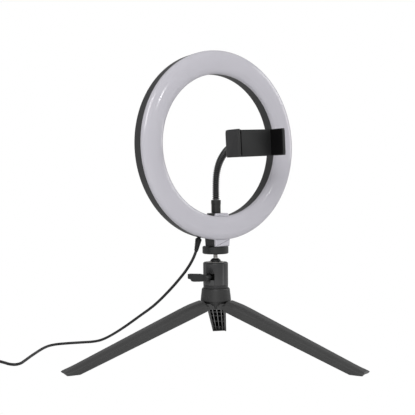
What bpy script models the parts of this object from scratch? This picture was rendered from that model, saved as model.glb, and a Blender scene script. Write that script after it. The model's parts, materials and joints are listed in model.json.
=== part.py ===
"""A table ring light: a ring lamp with a goose-neck phone clamp, on a ball head and a folding tripod."""

import math

import bmesh
import bpy
from mathutils import Matrix, Vector

for leftover in list(bpy.data.objects):
    bpy.data.objects.remove(leftover)

GAP = 0.0003  # between pieces that touch
FINE = 0.00015  # each side of the seam between the lamp's two shells

# ring lamp, which faces -Y
RING_RADIUS = 0.130
HOLE_RADIUS = 0.0979
RING_HEIGHT = 0.2947
SEAM_FORWARD = 0.0133
SHELL_DEPTH = 0.017
SHELL_WALL = 0.002
SHELL_EDGE = 0.0025
DOME_SIDE = 0.0028
DOME_HEIGHT = 0.0088
DIFFUSER_WALL = 0.0014
RING_STEPS = 48
BOARD_WIDTH = 0.012
BOARD_THICK = 0.0016
LED_HEIGHT = 0.0008
POST_RADIUS = 0.0027
SHELL_SCREW_RADIUS = 0.0013
SHELL_SCREW_HEAD = 0.0024

# lug under the ring and boss inside it
LUG_WIDTH = 0.0249
LUG_TAPER = 0.0009
LUG_BOTTOM = 0.1556
LUG_BACK = 0.0084
LUG_FRONT = 0.0174
BOSS_TOP = 0.2014
BOSS_TAPER = 0.0020
BOSS_BACK = 0.0055
BOSS_FRONT = 0.0165
INSERT_RADIUS = 0.0047
INSERT_LENGTH = 0.0095

# ball head
BALL_HEIGHT = 0.126
BALL_RADIUS = 0.0076
STUD_RADIUS = 0.00317
COLLAR_RADIUS = 0.00735
COLLAR_BOTTOM = 0.1315
DISC_RADIUS = 0.0182
DISC_THICK = 0.0105
HOUSING_RADIUS = 0.0174
HOUSING_TOP = 0.1332
HOUSING_EDGE = 0.0025
HOUSING_BORE = 0.0092
BASE_THICK = 0.0040
RIM_RADIUS = 0.0124
RIM_HOLE = 0.0082
RIM_THICK = 0.0064
RIM_LIP = 0.0030
KNOB_HEIGHT = 0.1135
KNOB_TURN = math.radians(200.2)
KNOB_RADIUS = 0.0052
RECESS_RADIUS = 0.0055
RECESS_DEPTH = 0.0049
LEVER_LENGTH = 0.0284
LEVER_THICK = 0.0062
CLAMP_SCREW_RADIUS = 0.0025

# tripod
HUB_TOP = 0.097
HUB_RIM = 0.0792
HUB_RIM_RADIUS = 0.0213
HUB_SHOULDER_RADIUS = 0.0196
HUB_BOTTOM = 0.0683
HUB_NECK = 0.0709
HUB_BOTTOM_RADIUS = 0.0100
HUB_BOWL = [(0.0145, 0.0736), (0.0175, 0.0772)]
HUB_BORE = 0.0033
TONGUE_WIDTH = 0.0198
LEG_TURNS = {"leg_back": 51.0, "leg_left": 171.0, "leg_front": 291.0}
PIVOT_RADIUS = 0.024
PIVOT_HEIGHT = 0.0726
PIN_RADIUS = 0.0016
LEG_EYE = 0.0068
LEG_HEAD_RADIUS = 0.0228
LEG_HEAD_HEIGHT = 0.0803
KNUCKLE = 0.0039
LEG_HEEL = 0.2026
LEG_TOE = 0.2195
LEG_TIP = 0.2220
TIP_HEIGHT = 0.0040
SHOULDER_RADIUS = 0.040
SHOULDER_HEIGHT = 0.0760
LEG_WIDTH_HUB = 0.027
LEG_WIDTH_FOOT = 0.022
LEG_WALL = 0.0027

# goose-neck: hinge centres as (forward, height)
FERRULE_RADIUS = 0.00615
FERRULE_TOP = 0.2198
FERRULE_BACK = -0.002
HOSE_RADIUS = 0.0046
HOSE_HINGES = [(0.002, 0.2248), (0.0036, 0.254), (0.0125, 0.2738), (0.0295, 0.2888)]
SWIVEL_BALL = 0.006
SWIVEL_NECK = 0.0024
SWIVEL_FORWARD = 0.0605

# phone clamp
CLAMP_HEIGHT = 0.2949
CLAMP_ROLL = math.radians(3.0)
CLAMP_TALL = 0.0354
JAW_TALL = 0.0356
CLAMP_BACK = 0.0676
COVER_THICK = 0.0022
PLATE_FRONT = 0.0783
JAW_FRONT = 0.101
JAW_GAP = 0.068
JAW_THICK = 0.0056
JAW_BACK = 0.0698
JAW_SLANT = 0.0756
PAD_THICK = 0.0015
ROD_RADIUS = 0.0012
ROD_SPREAD = 0.0083
SPRING_RADIUS = 0.0025
SPRING_WIRE = 0.0005
SPRING_TURNS = 7

# cord and what is on it
CORD_RADIUS = 0.0018
RELIEF_TOP = Vector((-0.0320, -0.0048, 0.1684))
RELIEF_END = Vector((-0.0368, -0.0048, 0.1511))
CORD_ROUTE = [
    (-37.1, -4.8, 150.0), (-39.2, -1.2, 140.5), (-41.6, 6.2, 129.0), (-44.6, 18.6, 115.0),
    (-49.8, 41.5, 93.6), (-56.0, 70.5, 70.4), (-63.2, 101.5, 50.6), (-70.3, 132.0, 31.8),
    (-76.7, 159.0, 16.8), (-81.6, 180.0, 7.4), (-87.5, 196.5, 2.9), (-104.5, 205.5, 2.3),
    (-123.0, 212.5, 2.2), (-142.5, 215.5, 2.2), (-163.5, 204.5, 2.2), (-198.8, 167.5, 2.2),
    (-226.5, 135.5, 2.2), (-237.6, 123.8, 2.2), (-246.0, 121.6, 2.2), (-250.9, 129.0, 2.2),
    (-252.6, 141.0, 2.2), (-254.6, 154.0, 2.2), (-258.4, 165.0, 2.2), (-263.6, 173.6, 3.2),
]
COIL_CENTRE = (-0.292, 0.176)
COIL_MIDDLE = 0.0200
COIL_WIDTH = 0.0112
COIL_TALL = 0.0104
TIE_THICK = 0.0008
CONTROL_CENTRE = (-0.296, 0.226)
CONTROL_LENGTH = 0.062
CONTROL_WIDTH = 0.021
CONTROL_TALL = 0.0104
BUTTON_PITCH = 0.0122
BUTTON_RADIUS = 0.0035
PLUG_CENTRE = (-0.292, 0.250)
PLUG_LENGTH = 0.030
SHELL_LENGTH = 0.0118
TAIL_ROUTE = [
    (-296.0, 203.9, 5.0), (-309.0, 204.2, 3.6), (-324.0, 205.0, 2.4), (-337.0, 209.0, 2.6),
    (-343.0, 217.5, 3.8), (-339.0, 225.0, 5.0), (-331.8, 226.0, 5.2),
]
LEAD_ROUTE = [
    (-260.2, 226.0, 5.2), (-253.5, 227.0, 4.4), (-247.8, 233.0, 3.2), (-249.0, 243.5, 3.2),
    (-256.5, 249.4, 4.0), (-266.4, 250.0, 4.3),
]


# ---------------------------------------------------------------- helpers


def finish(name, colour, roughness, metallic=0.0):
    made = bpy.data.materials.new(name)
    made.use_nodes = True
    shader = made.node_tree.nodes["Principled BSDF"]
    shader.inputs["Base Color"].default_value = (*colour, 1.0)
    shader.inputs["Roughness"].default_value = roughness
    shader.inputs["Metallic"].default_value = metallic
    return made


def anchor(name, place, parent=None, turn=None):
    """An empty that carries the pieces on one joint."""
    empty = bpy.data.objects.new(name, None)
    bpy.context.collection.objects.link(empty)
    empty.parent = parent
    empty.location = place
    if turn:
        empty.rotation_euler = turn
    return empty


def piece(name, shape, material, parent, place=(0, 0, 0)):
    """The named object of one sub-part, made from a bmesh."""
    bmesh.ops.remove_doubles(shape, verts=shape.verts, dist=1e-7)
    bmesh.ops.recalc_face_normals(shape, faces=shape.faces)
    mesh = bpy.data.meshes.new(name)
    shape.to_mesh(mesh)
    shape.free()
    mesh.shade_smooth()
    mesh.set_sharp_from_angle(angle=math.radians(35))
    made = bpy.data.objects.new(name, mesh)
    mesh.materials.append(material)
    bpy.context.collection.objects.link(made)
    made.parent = parent
    made.location = place
    return made


def cut(target, shape, operation="DIFFERENCE"):
    """A live Boolean of the target with a helper mesh given in the target's own frame."""
    helper = piece(f"{target.name}_helper", shape, target.data.materials[0], target.parent)
    helper.location = target.location
    helper.rotation_euler = target.rotation_euler
    helper.hide_render = True
    helper.display_type = "WIRE"
    boolean = target.modifiers.new(operation.title(), "BOOLEAN")
    boolean.operation = operation
    boolean.object = helper
    boolean.solver = "EXACT"


def turned(outline, steps=32, closed=True):
    """A turned shape about Z from (radius, height) points; an open outline starts and ends on the axis."""
    shape = bmesh.new()
    corners = [shape.verts.new((radius, 0, height)) for radius, height in outline]
    pairs = list(zip(corners, corners[1:]))
    if closed:
        pairs.append((corners[-1], corners[0]))
    rim = [shape.edges.new(pair) for pair in pairs]
    bmesh.ops.spin(
        shape, geom=corners + rim, cent=(0, 0, 0), axis=(0, 0, 1), angle=math.tau, steps=steps, use_merge=True
    )
    bmesh.ops.remove_doubles(shape, verts=shape.verts, dist=1e-7)
    return shape


def rod(radius, bottom, top, steps=16):
    return turned([(0, bottom), (radius, bottom), (radius, top), (0, top)], steps, closed=False)


def tube(inner, outer, bottom, top, steps=32):
    return turned([(inner, bottom), (outer, bottom), (outer, top), (inner, top)], steps)


def block(low, high, round_off=0.0):
    shape = bmesh.new()
    bmesh.ops.create_cube(shape, size=1.0)
    size, middle = Vector(high) - Vector(low), (Vector(high) + Vector(low)) / 2
    bmesh.ops.scale(shape, vec=size, verts=shape.verts)
    bmesh.ops.translate(shape, vec=middle, verts=shape.verts)
    if round_off:
        bmesh.ops.bevel(
            shape, geom=shape.edges[:], offset=round_off, affect="EDGES", segments=2, profile=0.5, material=-1
        )
    return shape


def wedge(low_half, high_half, back, front, bottom, top):
    """A block whose half width runs from low_half at the bottom to high_half at the top."""
    shape = block((-1, back, bottom), (1, front, top))
    for corner in shape.verts:
        corner.co.x *= low_half if corner.co.z < (bottom + top) / 2 else high_half
    return shape


def turn(shape, matrix):
    bmesh.ops.transform(shape, matrix=matrix, verts=shape.verts)
    return shape


def joined(*shapes):
    """Several closed shapes in one helper mesh."""
    whole = bmesh.new()
    for shape in shapes:
        part = bpy.data.meshes.new("helper")
        shape.to_mesh(part)
        shape.free()
        whole.from_mesh(part)
        bpy.data.meshes.remove(part)
    return whole


def towards(start, end):
    """The matrix that takes Z onto the line from start to end, with the origin at start."""
    start, end = Vector(start), Vector(end)
    return Matrix.Translation(start) @ (end - start).to_track_quat("Z", "Y").to_matrix().to_4x4()


def swept(name, points, radius, material, parent):
    """A round tube with filled caps through the points."""
    curve = bpy.data.curves.new(name, "CURVE")
    curve.dimensions = "3D"
    curve.bevel_depth = radius
    curve.bevel_resolution = 2
    curve.use_fill_caps = True
    line = curve.splines.new("POLY")
    line.points.add(len(points) - 1)
    for dot, place in zip(line.points, points):
        dot.co = (*place, 1.0)
    curve.materials.append(material)
    made = bpy.data.objects.new(name, curve)
    bpy.context.collection.objects.link(made)
    made.parent = parent
    return made


def smooth_line(route, spacing):
    """Points at an even spacing on the smooth curve through the route, which is in millimetres."""
    knots = [Vector(place) / 1000 for place in route]
    ends = [2 * knots[0] - knots[1], *knots, 2 * knots[-1] - knots[-2]]
    dense = []
    for before, start, end, after in zip(ends, ends[1:], ends[2:], ends[3:]):
        for step in range(24):
            t = step / 24
            dense.append(
                0.5
                * (
                    2 * start
                    + (end - before) * t
                    + (2 * before - 5 * start + 4 * end - after) * t**2
                    + (3 * start - before - 3 * end + after) * t**3
                )
            )
    dense.append(knots[-1])
    length = sum((b - a).length for a, b in zip(dense, dense[1:]))
    count = max(4, round(length / spacing))
    line, walked, wanted = [dense[0]], 0.0, length / count
    for a, b in zip(dense, dense[1:]):
        step = (b - a).length
        while walked + step >= wanted * len(line) - 1e-9 and len(line) < count:
            line.append(a.lerp(b, (wanted * len(line) - walked) / step))
        walked += step
    return [*line, dense[-1]]


# ---------------------------------------------------------------- finishes

black_abs = finish("black_abs", (0.030, 0.030, 0.032), 0.45)
grey_nylon = finish("grey_nylon", (0.062, 0.062, 0.064), 0.55)
opal = finish("opal_acrylic", (0.56, 0.55, 0.60), 0.25)
rubber = finish("black_rubber", (0.012, 0.012, 0.013), 0.75)
steel = finish("bright_steel", (0.62, 0.60, 0.57), 0.28, 1.0)
brass = finish("brass", (0.70, 0.52, 0.24), 0.35, 1.0)
board_white = finish("white_board", (0.75, 0.76, 0.74), 0.5)
acetal = finish("white_acetal", (0.72, 0.72, 0.70), 0.5)
cord_vinyl = finish("cord_vinyl", (0.018, 0.018, 0.019), 0.5)

# the origin is under the middle of the object's box, so the stand's own axis is set off from it


def foot_corners():
    for angle in map(math.radians, LEG_TURNS.values()):
        for side in (-LEG_WIDTH_FOOT / 2, LEG_WIDTH_FOOT / 2):
            yield (
                LEG_TIP * math.cos(angle) - side * math.sin(angle),
                LEG_TIP * math.sin(angle) + side * math.cos(angle),
            )


reach_x, reach_y = zip(*foot_corners())
clamp_reach = JAW_FRONT
low_x, high_x = min(*reach_x, -RING_RADIUS), max(*reach_x, RING_RADIUS)
low_y, high_y = min(*reach_y, -clamp_reach), max(reach_y)
stand = anchor("stand", (-(low_x + high_x) / 2, -(low_y + high_y) / 2, 0))


# ---------------------------------------------------------------- tripod


def prism(outline, half):
    """A shape with this (distance, height) outline, reaching this far to either side of the XZ plane."""
    shape = bmesh.new()
    sides = [[shape.verts.new((x, y, z)) for x, z in outline] for y in (-half, half)]
    for ring in sides:
        shape.faces.new(ring)
    for k in range(len(outline)):
        n = (k + 1) % len(outline)
        shape.faces.new((sides[0][k], sides[0][n], sides[1][n], sides[1][k]))
    return shape


def make_hub():
    recess = HUB_BOTTOM + 0.0097
    hub = piece(
        "tripod_hub",
        turned(
            [
                (HUB_BORE, HUB_TOP), (HUB_BORE, recess), (0.0064, recess), (0.0064, HUB_BOTTOM),
                (HUB_BOTTOM_RADIUS, HUB_BOTTOM), (HUB_BOTTOM_RADIUS + 0.0006, HUB_NECK),
                *HUB_BOWL, (HUB_RIM_RADIUS - 0.0004, HUB_RIM),
                (HUB_RIM_RADIUS, HUB_RIM + 0.0006), (HUB_SHOULDER_RADIUS, HUB_TOP - 0.0026),
                (HUB_SHOULDER_RADIUS - 0.0008, HUB_TOP - 0.0008), (HUB_SHOULDER_RADIUS - 0.0022, HUB_TOP),
            ],
            36,
        ),
        grey_nylon,
        stand,
    )
    nose = [
        (
            PIVOT_RADIUS + KNUCKLE * math.cos(math.radians(part)),
            PIVOT_HEIGHT + KNUCKLE * math.sin(math.radians(part)),
        )
        for part in range(90, -91, -30)
    ]
    outline = [(0.0076, PIVOT_HEIGHT + KNUCKLE), *nose, (0.0076, PIVOT_HEIGHT - KNUCKLE)]
    across = Matrix.Translation((PIVOT_RADIUS, 0, PIVOT_HEIGHT)) @ Matrix.Rotation(math.pi / 2, 4, "X")
    for angle in LEG_TURNS.values():
        about = Matrix.Rotation(math.radians(angle), 4, "Z")
        cut(hub, turn(prism(outline, TONGUE_WIDTH / 2), about), "UNION")
        cut(hub, turn(turn(rod(PIN_RADIUS + 0.0002, -0.013, 0.013, 12), across), about))
    piece(
        "hub_screw",
        turned(
            [
                (0, HUB_BOTTOM + 0.0047), (0.0058, HUB_BOTTOM + 0.0047), (0.0058, HUB_BOTTOM + 0.0094),
                (HUB_BORE - GAP, HUB_BOTTOM + 0.0094), (HUB_BORE - GAP, HUB_TOP + BASE_THICK + 0.0040),
                (0, HUB_TOP + BASE_THICK + 0.0040),
            ],
            20,
            closed=False,
        ),
        steel,
        stand,
    )


def leg_width(distance):
    """The leg's width at a distance from the tripod's axis."""
    share = (distance - PIVOT_RADIUS) / (LEG_HEEL - PIVOT_RADIUS)
    return LEG_WIDTH_HUB + (LEG_WIDTH_FOOT - LEG_WIDTH_HUB) * share


def slab(outline, inset):
    """A prism across the leg from (distance, height) points, tapering with the leg, inset from its sides."""
    shape = bmesh.new()
    sides = []
    for side in (-1, 1):
        ring = []
        for distance, height in outline:
            half = leg_width(distance) / 2 - inset
            ring.append(shape.verts.new((distance - PIVOT_RADIUS, side * half, height - PIVOT_HEIGHT)))
        sides.append(ring)
        shape.faces.new(ring)
    count = len(outline)
    for k in range(count):
        n = (k + 1) % count
        shape.faces.new((sides[0][k], sides[0][n], sides[1][n], sides[1][k]))
    return shape


def underside(distance):
    rise = (PIVOT_HEIGHT - LEG_EYE / math.cos(LEG_SLOPE)) / (LEG_HEEL - PIVOT_RADIUS)
    return (LEG_HEEL - distance) * rise


def topside(distance):
    slope = (SHOULDER_HEIGHT - TIP_HEIGHT) / (LEG_TIP - SHOULDER_RADIUS)
    if distance > SHOULDER_RADIUS:
        return TIP_HEIGHT + (LEG_TIP - distance) * slope
    slope = (SHOULDER_HEIGHT - LEG_HEAD_HEIGHT) / (SHOULDER_RADIUS - LEG_HEAD_RADIUS)
    return LEG_HEAD_HEIGHT + (distance - LEG_HEAD_RADIUS) * slope


LEG_SLOPE = math.atan(PIVOT_HEIGHT / (LEG_HEEL - PIVOT_RADIUS))
COLUMN_EDGES = [-0.92, -0.52, -0.42, -0.05, 0.05, 0.42, 0.52, 0.92]
ROW_EDGES = [0.040, 0.058, 0.0595, 0.085, 0.0865, 0.125, 0.1265, 0.170, 0.1715, 0.198]


def make_leg(name, angle):
    carrier = anchor(f"{name}_hinge", (0, 0, 0), stand, (0, 0, math.radians(angle)))
    eye = [
        (
            PIVOT_RADIUS + LEG_EYE * math.cos(math.radians(part)),
            PIVOT_HEIGHT + LEG_EYE * math.sin(math.radians(part)),
        )
        for part in (110, 120, 140, 165, 190, 215, 240)
    ]
    outline = [
        *eye, (LEG_HEEL, 0.0), (LEG_TOE, 0.0), (LEG_TIP, TIP_HEIGHT - 0.0012), (LEG_TIP - 0.0010, TIP_HEIGHT),
        (SHOULDER_RADIUS, topside(SHOULDER_RADIUS)), (LEG_HEAD_RADIUS, LEG_HEAD_HEIGHT),
    ]
    body = slab(outline, 0.0)
    top_edges = [
        edge
        for edge in body.edges
        if abs(edge.verts[0].co.y + edge.verts[1].co.y) > 0.01
        and min(v.co.x for v in edge.verts) > -0.0014
        and all(v.co.z + PIVOT_HEIGHT > topside(v.co.x + PIVOT_RADIUS) - 0.0008 for v in edge.verts)
    ]
    bmesh.ops.bevel(body, geom=top_edges, offset=0.0020, affect="EDGES", segments=2, profile=0.5, material=-1)
    leg = piece(name, body, grey_nylon, carrier, (PIVOT_RADIUS, 0, PIVOT_HEIGHT))
    shade = LEG_WALL / math.cos(LEG_SLOPE)
    mouth = [
        (PIVOT_RADIUS - 0.012, topside(PIVOT_RADIUS - 0.012) - shade), (ROW_EDGES[0], topside(ROW_EDGES[0]) - shade),
        (ROW_EDGES[0], underside(ROW_EDGES[0]) - 0.004), (PIVOT_RADIUS - 0.012, underside(PIVOT_RADIUS) - 0.01),
    ]
    cells = [slab(mouth, LEG_WALL)]
    for near, far in zip(ROW_EDGES[::2], ROW_EDGES[1::2]):
        for left, right in zip(COLUMN_EDGES[::2], COLUMN_EDGES[1::2]):
            cell = slab(
                [
                    (near + 0.0015, topside(near + 0.0015) - shade), (far, topside(far) - shade),
                    (far, underside(far) - 0.003), (near + 0.0015, underside(near + 0.0015) - 0.003),
                ],
                LEG_WALL * 0.6,
            )
            for corner in cell.verts:
                corner.co.y *= (left if corner.co.y < 0 else right) * (1 if corner.co.y > 0 else -1)
            cells.append(cell)
    cut(leg, joined(*cells))
    across = Matrix.Rotation(math.pi / 2, 4, "X")
    cut(leg, turn(rod(PIN_RADIUS + 0.0002, -0.03, 0.03, 12), across))
    half = LEG_WIDTH_HUB / 2 - 0.0004
    pin = piece(f"{name}_pin", turn(rod(PIN_RADIUS, -half, half, 12), across), steel, carrier)
    pin.location = (PIVOT_RADIUS, 0, PIVOT_HEIGHT)


make_hub()
for leg_name, leg_angle in LEG_TURNS.items():
    make_leg(leg_name, leg_angle)


# ---------------------------------------------------------------- ball head


def held(rise):
    """The ball's radius this far above its centre, with the gap that its socket leaves."""
    return math.sqrt((BALL_RADIUS + GAP) ** 2 - rise**2)


def make_housing():
    base_bottom = HUB_TOP + GAP
    base_top = base_bottom + BASE_THICK
    piece(
        "head_base",
        tube(HUB_BORE, HOUSING_RADIUS - 0.0002, base_bottom, base_top, 40),
        grey_nylon,
        stand,
    )
    floor = base_top + GAP
    edge, corner = HOUSING_EDGE, HOUSING_RADIUS - HOUSING_EDGE
    shoulder = [
        (corner + edge * math.cos(math.radians(a)), HOUSING_TOP - edge + edge * math.sin(math.radians(a)))
        for a in (0, 30, 60, 90)
    ]
    seat = HOUSING_TOP - RIM_THICK - GAP - 0.0004
    housing = piece(
        "head_housing",
        turned(
            [
                (HUB_BORE, floor), (HOUSING_RADIUS, floor), *shoulder, (RIM_RADIUS + GAP, HOUSING_TOP),
                (RIM_RADIUS + GAP, seat), (HOUSING_BORE, seat), (HOUSING_BORE, floor + 0.0055),
                (HUB_BORE, floor + 0.0055),
            ],
            40,
        ),
        grey_nylon,
        stand,
    )
    knob_line = Matrix.Translation((0, 0, KNOB_HEIGHT)) @ Matrix.Rotation(KNOB_TURN, 4, "Z")
    knob_line = knob_line @ Matrix.Rotation(math.pi / 2, 4, "Y")
    recess = rod(RECESS_RADIUS, HOUSING_RADIUS - RECESS_DEPTH, 0.03, 24)
    thread = rod(CLAMP_SCREW_RADIUS + 0.0002, 0.006, 0.03, 16)
    cut(housing, turn(recess, knob_line))
    cut(housing, turn(thread, knob_line))
    rim_bottom = HOUSING_TOP - RIM_THICK - 0.0004
    piece(
        "rim_ring",
        turned(
            [
                (held(0.0003), rim_bottom), (RIM_RADIUS, rim_bottom), (RIM_RADIUS, HOUSING_TOP - 0.0004),
                (RIM_HOLE + 0.0028, HOUSING_TOP - 0.0004), (RIM_HOLE, HOUSING_TOP - 0.0030),
                (held(RIM_LIP), BALL_HEIGHT + RIM_LIP), (held(RIM_LIP / 2), BALL_HEIGHT + RIM_LIP / 2),
            ],
            32,
        ),
        steel,
        stand,
    )


def make_ball():
    swivel = anchor("ball_centre", (0, 0, BALL_HEIGHT), stand)
    socket = BALL_RADIUS + 0.00025
    brim = -0.0030
    hollow = [
        (socket * math.sin(a), -socket * math.cos(a))
        for a in [math.radians(step) for step in (0, 15, 30, 45)]
    ]
    piece(
        "ball_cup",
        turned(
            [
                (0, -0.0158), (HOUSING_BORE - GAP, -0.0158), (HOUSING_BORE - GAP, brim),
                (math.sqrt(socket**2 - brim**2), brim), *hollow[::-1],
            ],
            32,
            closed=False,
        ),
        acetal,
        swivel,
    )
    neck = math.asin(STUD_RADIUS / BALL_RADIUS)
    arc = [
        (BALL_RADIUS * math.sin(a), BALL_RADIUS * math.cos(a))
        for a in [neck + (math.pi - neck) * step / 11 for step in range(12)]
    ]
    stud_top = LUG_BOTTOM + INSERT_LENGTH - 0.0015 - BALL_HEIGHT
    outline = [(0, -BALL_RADIUS), *arc[-2::-1], (STUD_RADIUS, stud_top), (0, stud_top)]
    piece("ball_stud", turned(outline, 28, closed=False), steel, swivel)
    low, inner = COLLAR_BOTTOM - BALL_HEIGHT, STUD_RADIUS + GAP
    piece(
        "ball_collar",
        turned(
            [
                (inner, low + 0.0017), (0.0055, low), (0.0056, low + 0.0018), (COLLAR_RADIUS, low + 0.0029),
                (COLLAR_RADIUS - 0.0002, low + 0.0038), (0.0060, low + 0.0055), (0.0043, low + 0.0067),
                (inner, low + 0.0071),
            ],
            28,
        ),
        black_abs,
        swivel,
    )
    top = LUG_BOTTOM - GAP - BALL_HEIGHT
    bottom, edge = top - DISC_THICK, 0.0011
    piece(
        "lock_disc",
        turned(
            [
                (inner, bottom), (DISC_RADIUS - edge, bottom), (DISC_RADIUS, bottom + edge),
                (DISC_RADIUS, top - edge), (DISC_RADIUS - edge, top), (inner, top),
            ],
            40,
        ),
        black_abs,
        swivel,
    )
    return swivel


def make_knob():
    carrier = anchor("knob_axis", (0, 0, KNOB_HEIGHT), stand, (0, 0, KNOB_TURN))
    along = Matrix.Rotation(math.pi / 2, 4, "Y")
    screw = turned(
        [(0, HOUSING_BORE + 0.0003), (CLAMP_SCREW_RADIUS, HOUSING_BORE + 0.0012), (CLAMP_SCREW_RADIUS, 0.0255),
         (0, 0.0255)],
        16,
        closed=False,
    )
    piece("clamp_screw", turn(screw, along), steel, carrier)
    start, end = HOUSING_RADIUS + 0.0008, 0.0290
    knob = piece("clamp_knob", turn(rod(KNOB_RADIUS, start, end, 24), along), black_abs, carrier)
    near = HUB_RIM_RADIUS + 0.0006
    profile = [
        (0, -0.0052), (0.0195, -0.0066), (0.0222, -0.0060), (0.0244, -0.0032), (LEVER_LENGTH, -0.0028),
        (LEVER_LENGTH, 0.0040), (0.0105, 0.0046), (0, 0.0052),
    ]
    arm = bmesh.new()
    sides = [
        [arm.verts.new((distance, -length, height)) for length, height in profile]
        for distance in (near, near + LEVER_THICK)
    ]
    for ring in sides:
        arm.faces.new(ring)
    for k in range(len(profile)):
        n = (k + 1) % len(profile)
        arm.faces.new((sides[0][k], sides[0][n], sides[1][n], sides[1][k]))
    cut(knob, arm, "UNION")
    cut(knob, turn(rod(CLAMP_SCREW_RADIUS + 0.0003, 0.012, 0.0258, 16), along))


make_housing()
ball_centre = make_ball()
make_knob()


# ---------------------------------------------------------------- ring lamp

ring_centre = anchor("ring_centre", (0, -SEAM_FORWARD, RING_HEIGHT), stand)
FACE_OUT = Matrix.Rotation(math.pi / 2, 4, "X")  # a turned shape's +Z becomes the way the lamp faces


def local(shape):
    """Moves a shape given in the stand's frame into the ring's."""
    return turn(shape, Matrix.Translation((0, SEAM_FORWARD, -RING_HEIGHT)))


def quarter(middle_radius, middle_depth, size, start, end):
    angles = [math.radians(start + (end - start) * k / 3) for k in range(4)]
    return [(middle_radius + size * math.cos(a), middle_depth + size * math.sin(a)) for a in angles]


def make_lamp():
    back, edge, wall = -SHELL_DEPTH, SHELL_EDGE, SHELL_WALL
    outer, inner = RING_RADIUS - 0.0010, HOLE_RADIUS + 0.0012
    shell_outline = [
        (RING_RADIUS, -FINE), *quarter(outer - edge, back + edge, edge, 0, -90),
        *quarter(inner + edge, back + edge, edge, -90, -180), (HOLE_RADIUS, -FINE),
        (HOLE_RADIUS + wall, -FINE), (inner + wall, back + wall + 0.0015),
        (inner + wall + 0.0015, back + wall), (outer - wall - 0.0015, back + wall),
        (outer - wall, back + wall + 0.0015), (RING_RADIUS - wall, -FINE),
    ]
    shell = piece(
        "rear_shell", turn(turned(shell_outline, RING_STEPS), FACE_OUT), black_abs, ring_centre
    )
    half, seam = LUG_WIDTH / 2, -SEAM_FORWARD
    lug_top = RING_HEIGHT - RING_RADIUS + 0.0022
    boss_bottom = RING_HEIGHT - HOLE_RADIUS - 0.0018
    rear = seam + FINE
    cut(shell, local(wedge(half - LUG_TAPER, half, rear, LUG_BACK, LUG_BOTTOM, lug_top)), "UNION")
    cut(shell, local(wedge(half, half - BOSS_TAPER, rear, BOSS_BACK, boss_bottom, BOSS_TOP)), "UNION")
    pocket = rod(INSERT_RADIUS + GAP, LUG_BOTTOM - 0.002, LUG_BOTTOM + INSERT_LENGTH + GAP, 20)
    cut(shell, local(pocket))
    spigot_hole = turn(rod(0.0042, 0.185, 0.205, 20), Matrix.Translation((0, FERRULE_BACK, 0)))
    cut(shell, local(spigot_hole))
    cut(shell, local(turn(rod(0.0030, -0.006, 0.006, 14), towards(RELIEF_TOP, RELIEF_END))))

    side, top, skin = DOME_SIDE, DOME_HEIGHT, DIFFUSER_WALL
    middle, reach = (RING_RADIUS + HOLE_RADIUS) / 2, (RING_RADIUS - HOLE_RADIUS) / 2
    def dome(shrink):
        rise, wide = top - side - shrink, reach - shrink
        return [
            (middle + wide * math.copysign(abs(math.cos(a)) ** 0.62, math.cos(a)),
             side + rise * abs(math.sin(a)) ** 0.80)
            for a in [math.radians(step) for step in (0, 25, 50, 72, 90, 108, 130, 155, 180)]
        ]
    dome_outline = [
        (RING_RADIUS, FINE), *dome(0.0), (HOLE_RADIUS, FINE), (HOLE_RADIUS + skin, FINE),
        *dome(skin)[::-1], (RING_RADIUS - skin, FINE),
    ]
    diffuser = piece(
        "front_diffuser", turn(turned(dome_outline, RING_STEPS), FACE_OUT), opal, ring_centre
    )
    front = seam - FINE
    cut(diffuser, local(wedge(half - LUG_TAPER, half, -LUG_FRONT, front, LUG_BOTTOM, lug_top - 0.0014)), "UNION")
    cut(
        diffuser,
        local(wedge(half, half - BOSS_TAPER, -BOSS_FRONT, front, boss_bottom + 0.0010, BOSS_TOP)),
        "UNION",
    )

    post_line = inner + wall + 0.0040
    post_bottom = back + wall + GAP
    for number in range(4):
        bearing = math.radians(45 + 90 * number)
        at = Matrix.Translation((post_line * math.cos(bearing), post_line * math.sin(bearing), 0))
        cut(diffuser, turn(turn(rod(POST_RADIUS, post_bottom, side + 0.0050, 12), at), FACE_OUT), "UNION")
        bore = rod(SHELL_SCREW_RADIUS + 0.0001, back, -0.0040, 10)
        cut(diffuser, turn(turn(bore, at), FACE_OUT))
        hole = rod(SHELL_SCREW_HEAD + GAP, back - 0.001, back + 0.0011, 16)
        cut(shell, turn(turn(hole, at), FACE_OUT))
        cut(shell, turn(turn(rod(SHELL_SCREW_RADIUS + 0.0002, back - 0.002, 0.0, 10), at), FACE_OUT))
        screw = turned(
            [
                (0, back + 0.0001), (SHELL_SCREW_HEAD, back + 0.0001), (SHELL_SCREW_HEAD, back + 0.0009),
                (SHELL_SCREW_RADIUS, back + 0.0009), (SHELL_SCREW_RADIUS, -0.0055), (0, -0.0048),
            ],
            12,
            closed=False,
        )
        piece(f"shell_screw_{number + 1}", turn(turn(screw, at), FACE_OUT), steel, ring_centre)

    board_in = post_line + POST_RADIUS + 0.0008
    board_low, board_high = back + wall + GAP, back + wall + GAP + BOARD_THICK
    board = led_board_shape(board_in, board_low, board_high)
    piece("led_board", turn(board, FACE_OUT), board_white, ring_centre)

    piece(
        "thread_insert",
        local(tube(STUD_RADIUS + 0.0002, INSERT_RADIUS, LUG_BOTTOM, LUG_BOTTOM + INSERT_LENGTH, 20)),
        brass,
        ring_centre,
    )
    relief = turned(
        [
            (0, -0.0045), (0.0027, -0.0045), (0.0027, 0.0008), (0.0040, 0.0010), (0.0041, 0.0030),
            (0.0027, (RELIEF_END - RELIEF_TOP).length), (0, (RELIEF_END - RELIEF_TOP).length),
        ],
        16,
        closed=False,
    )
    piece("strain_relief", local(turn(relief, towards(RELIEF_TOP, RELIEF_END))), rubber, ring_centre)


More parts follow.
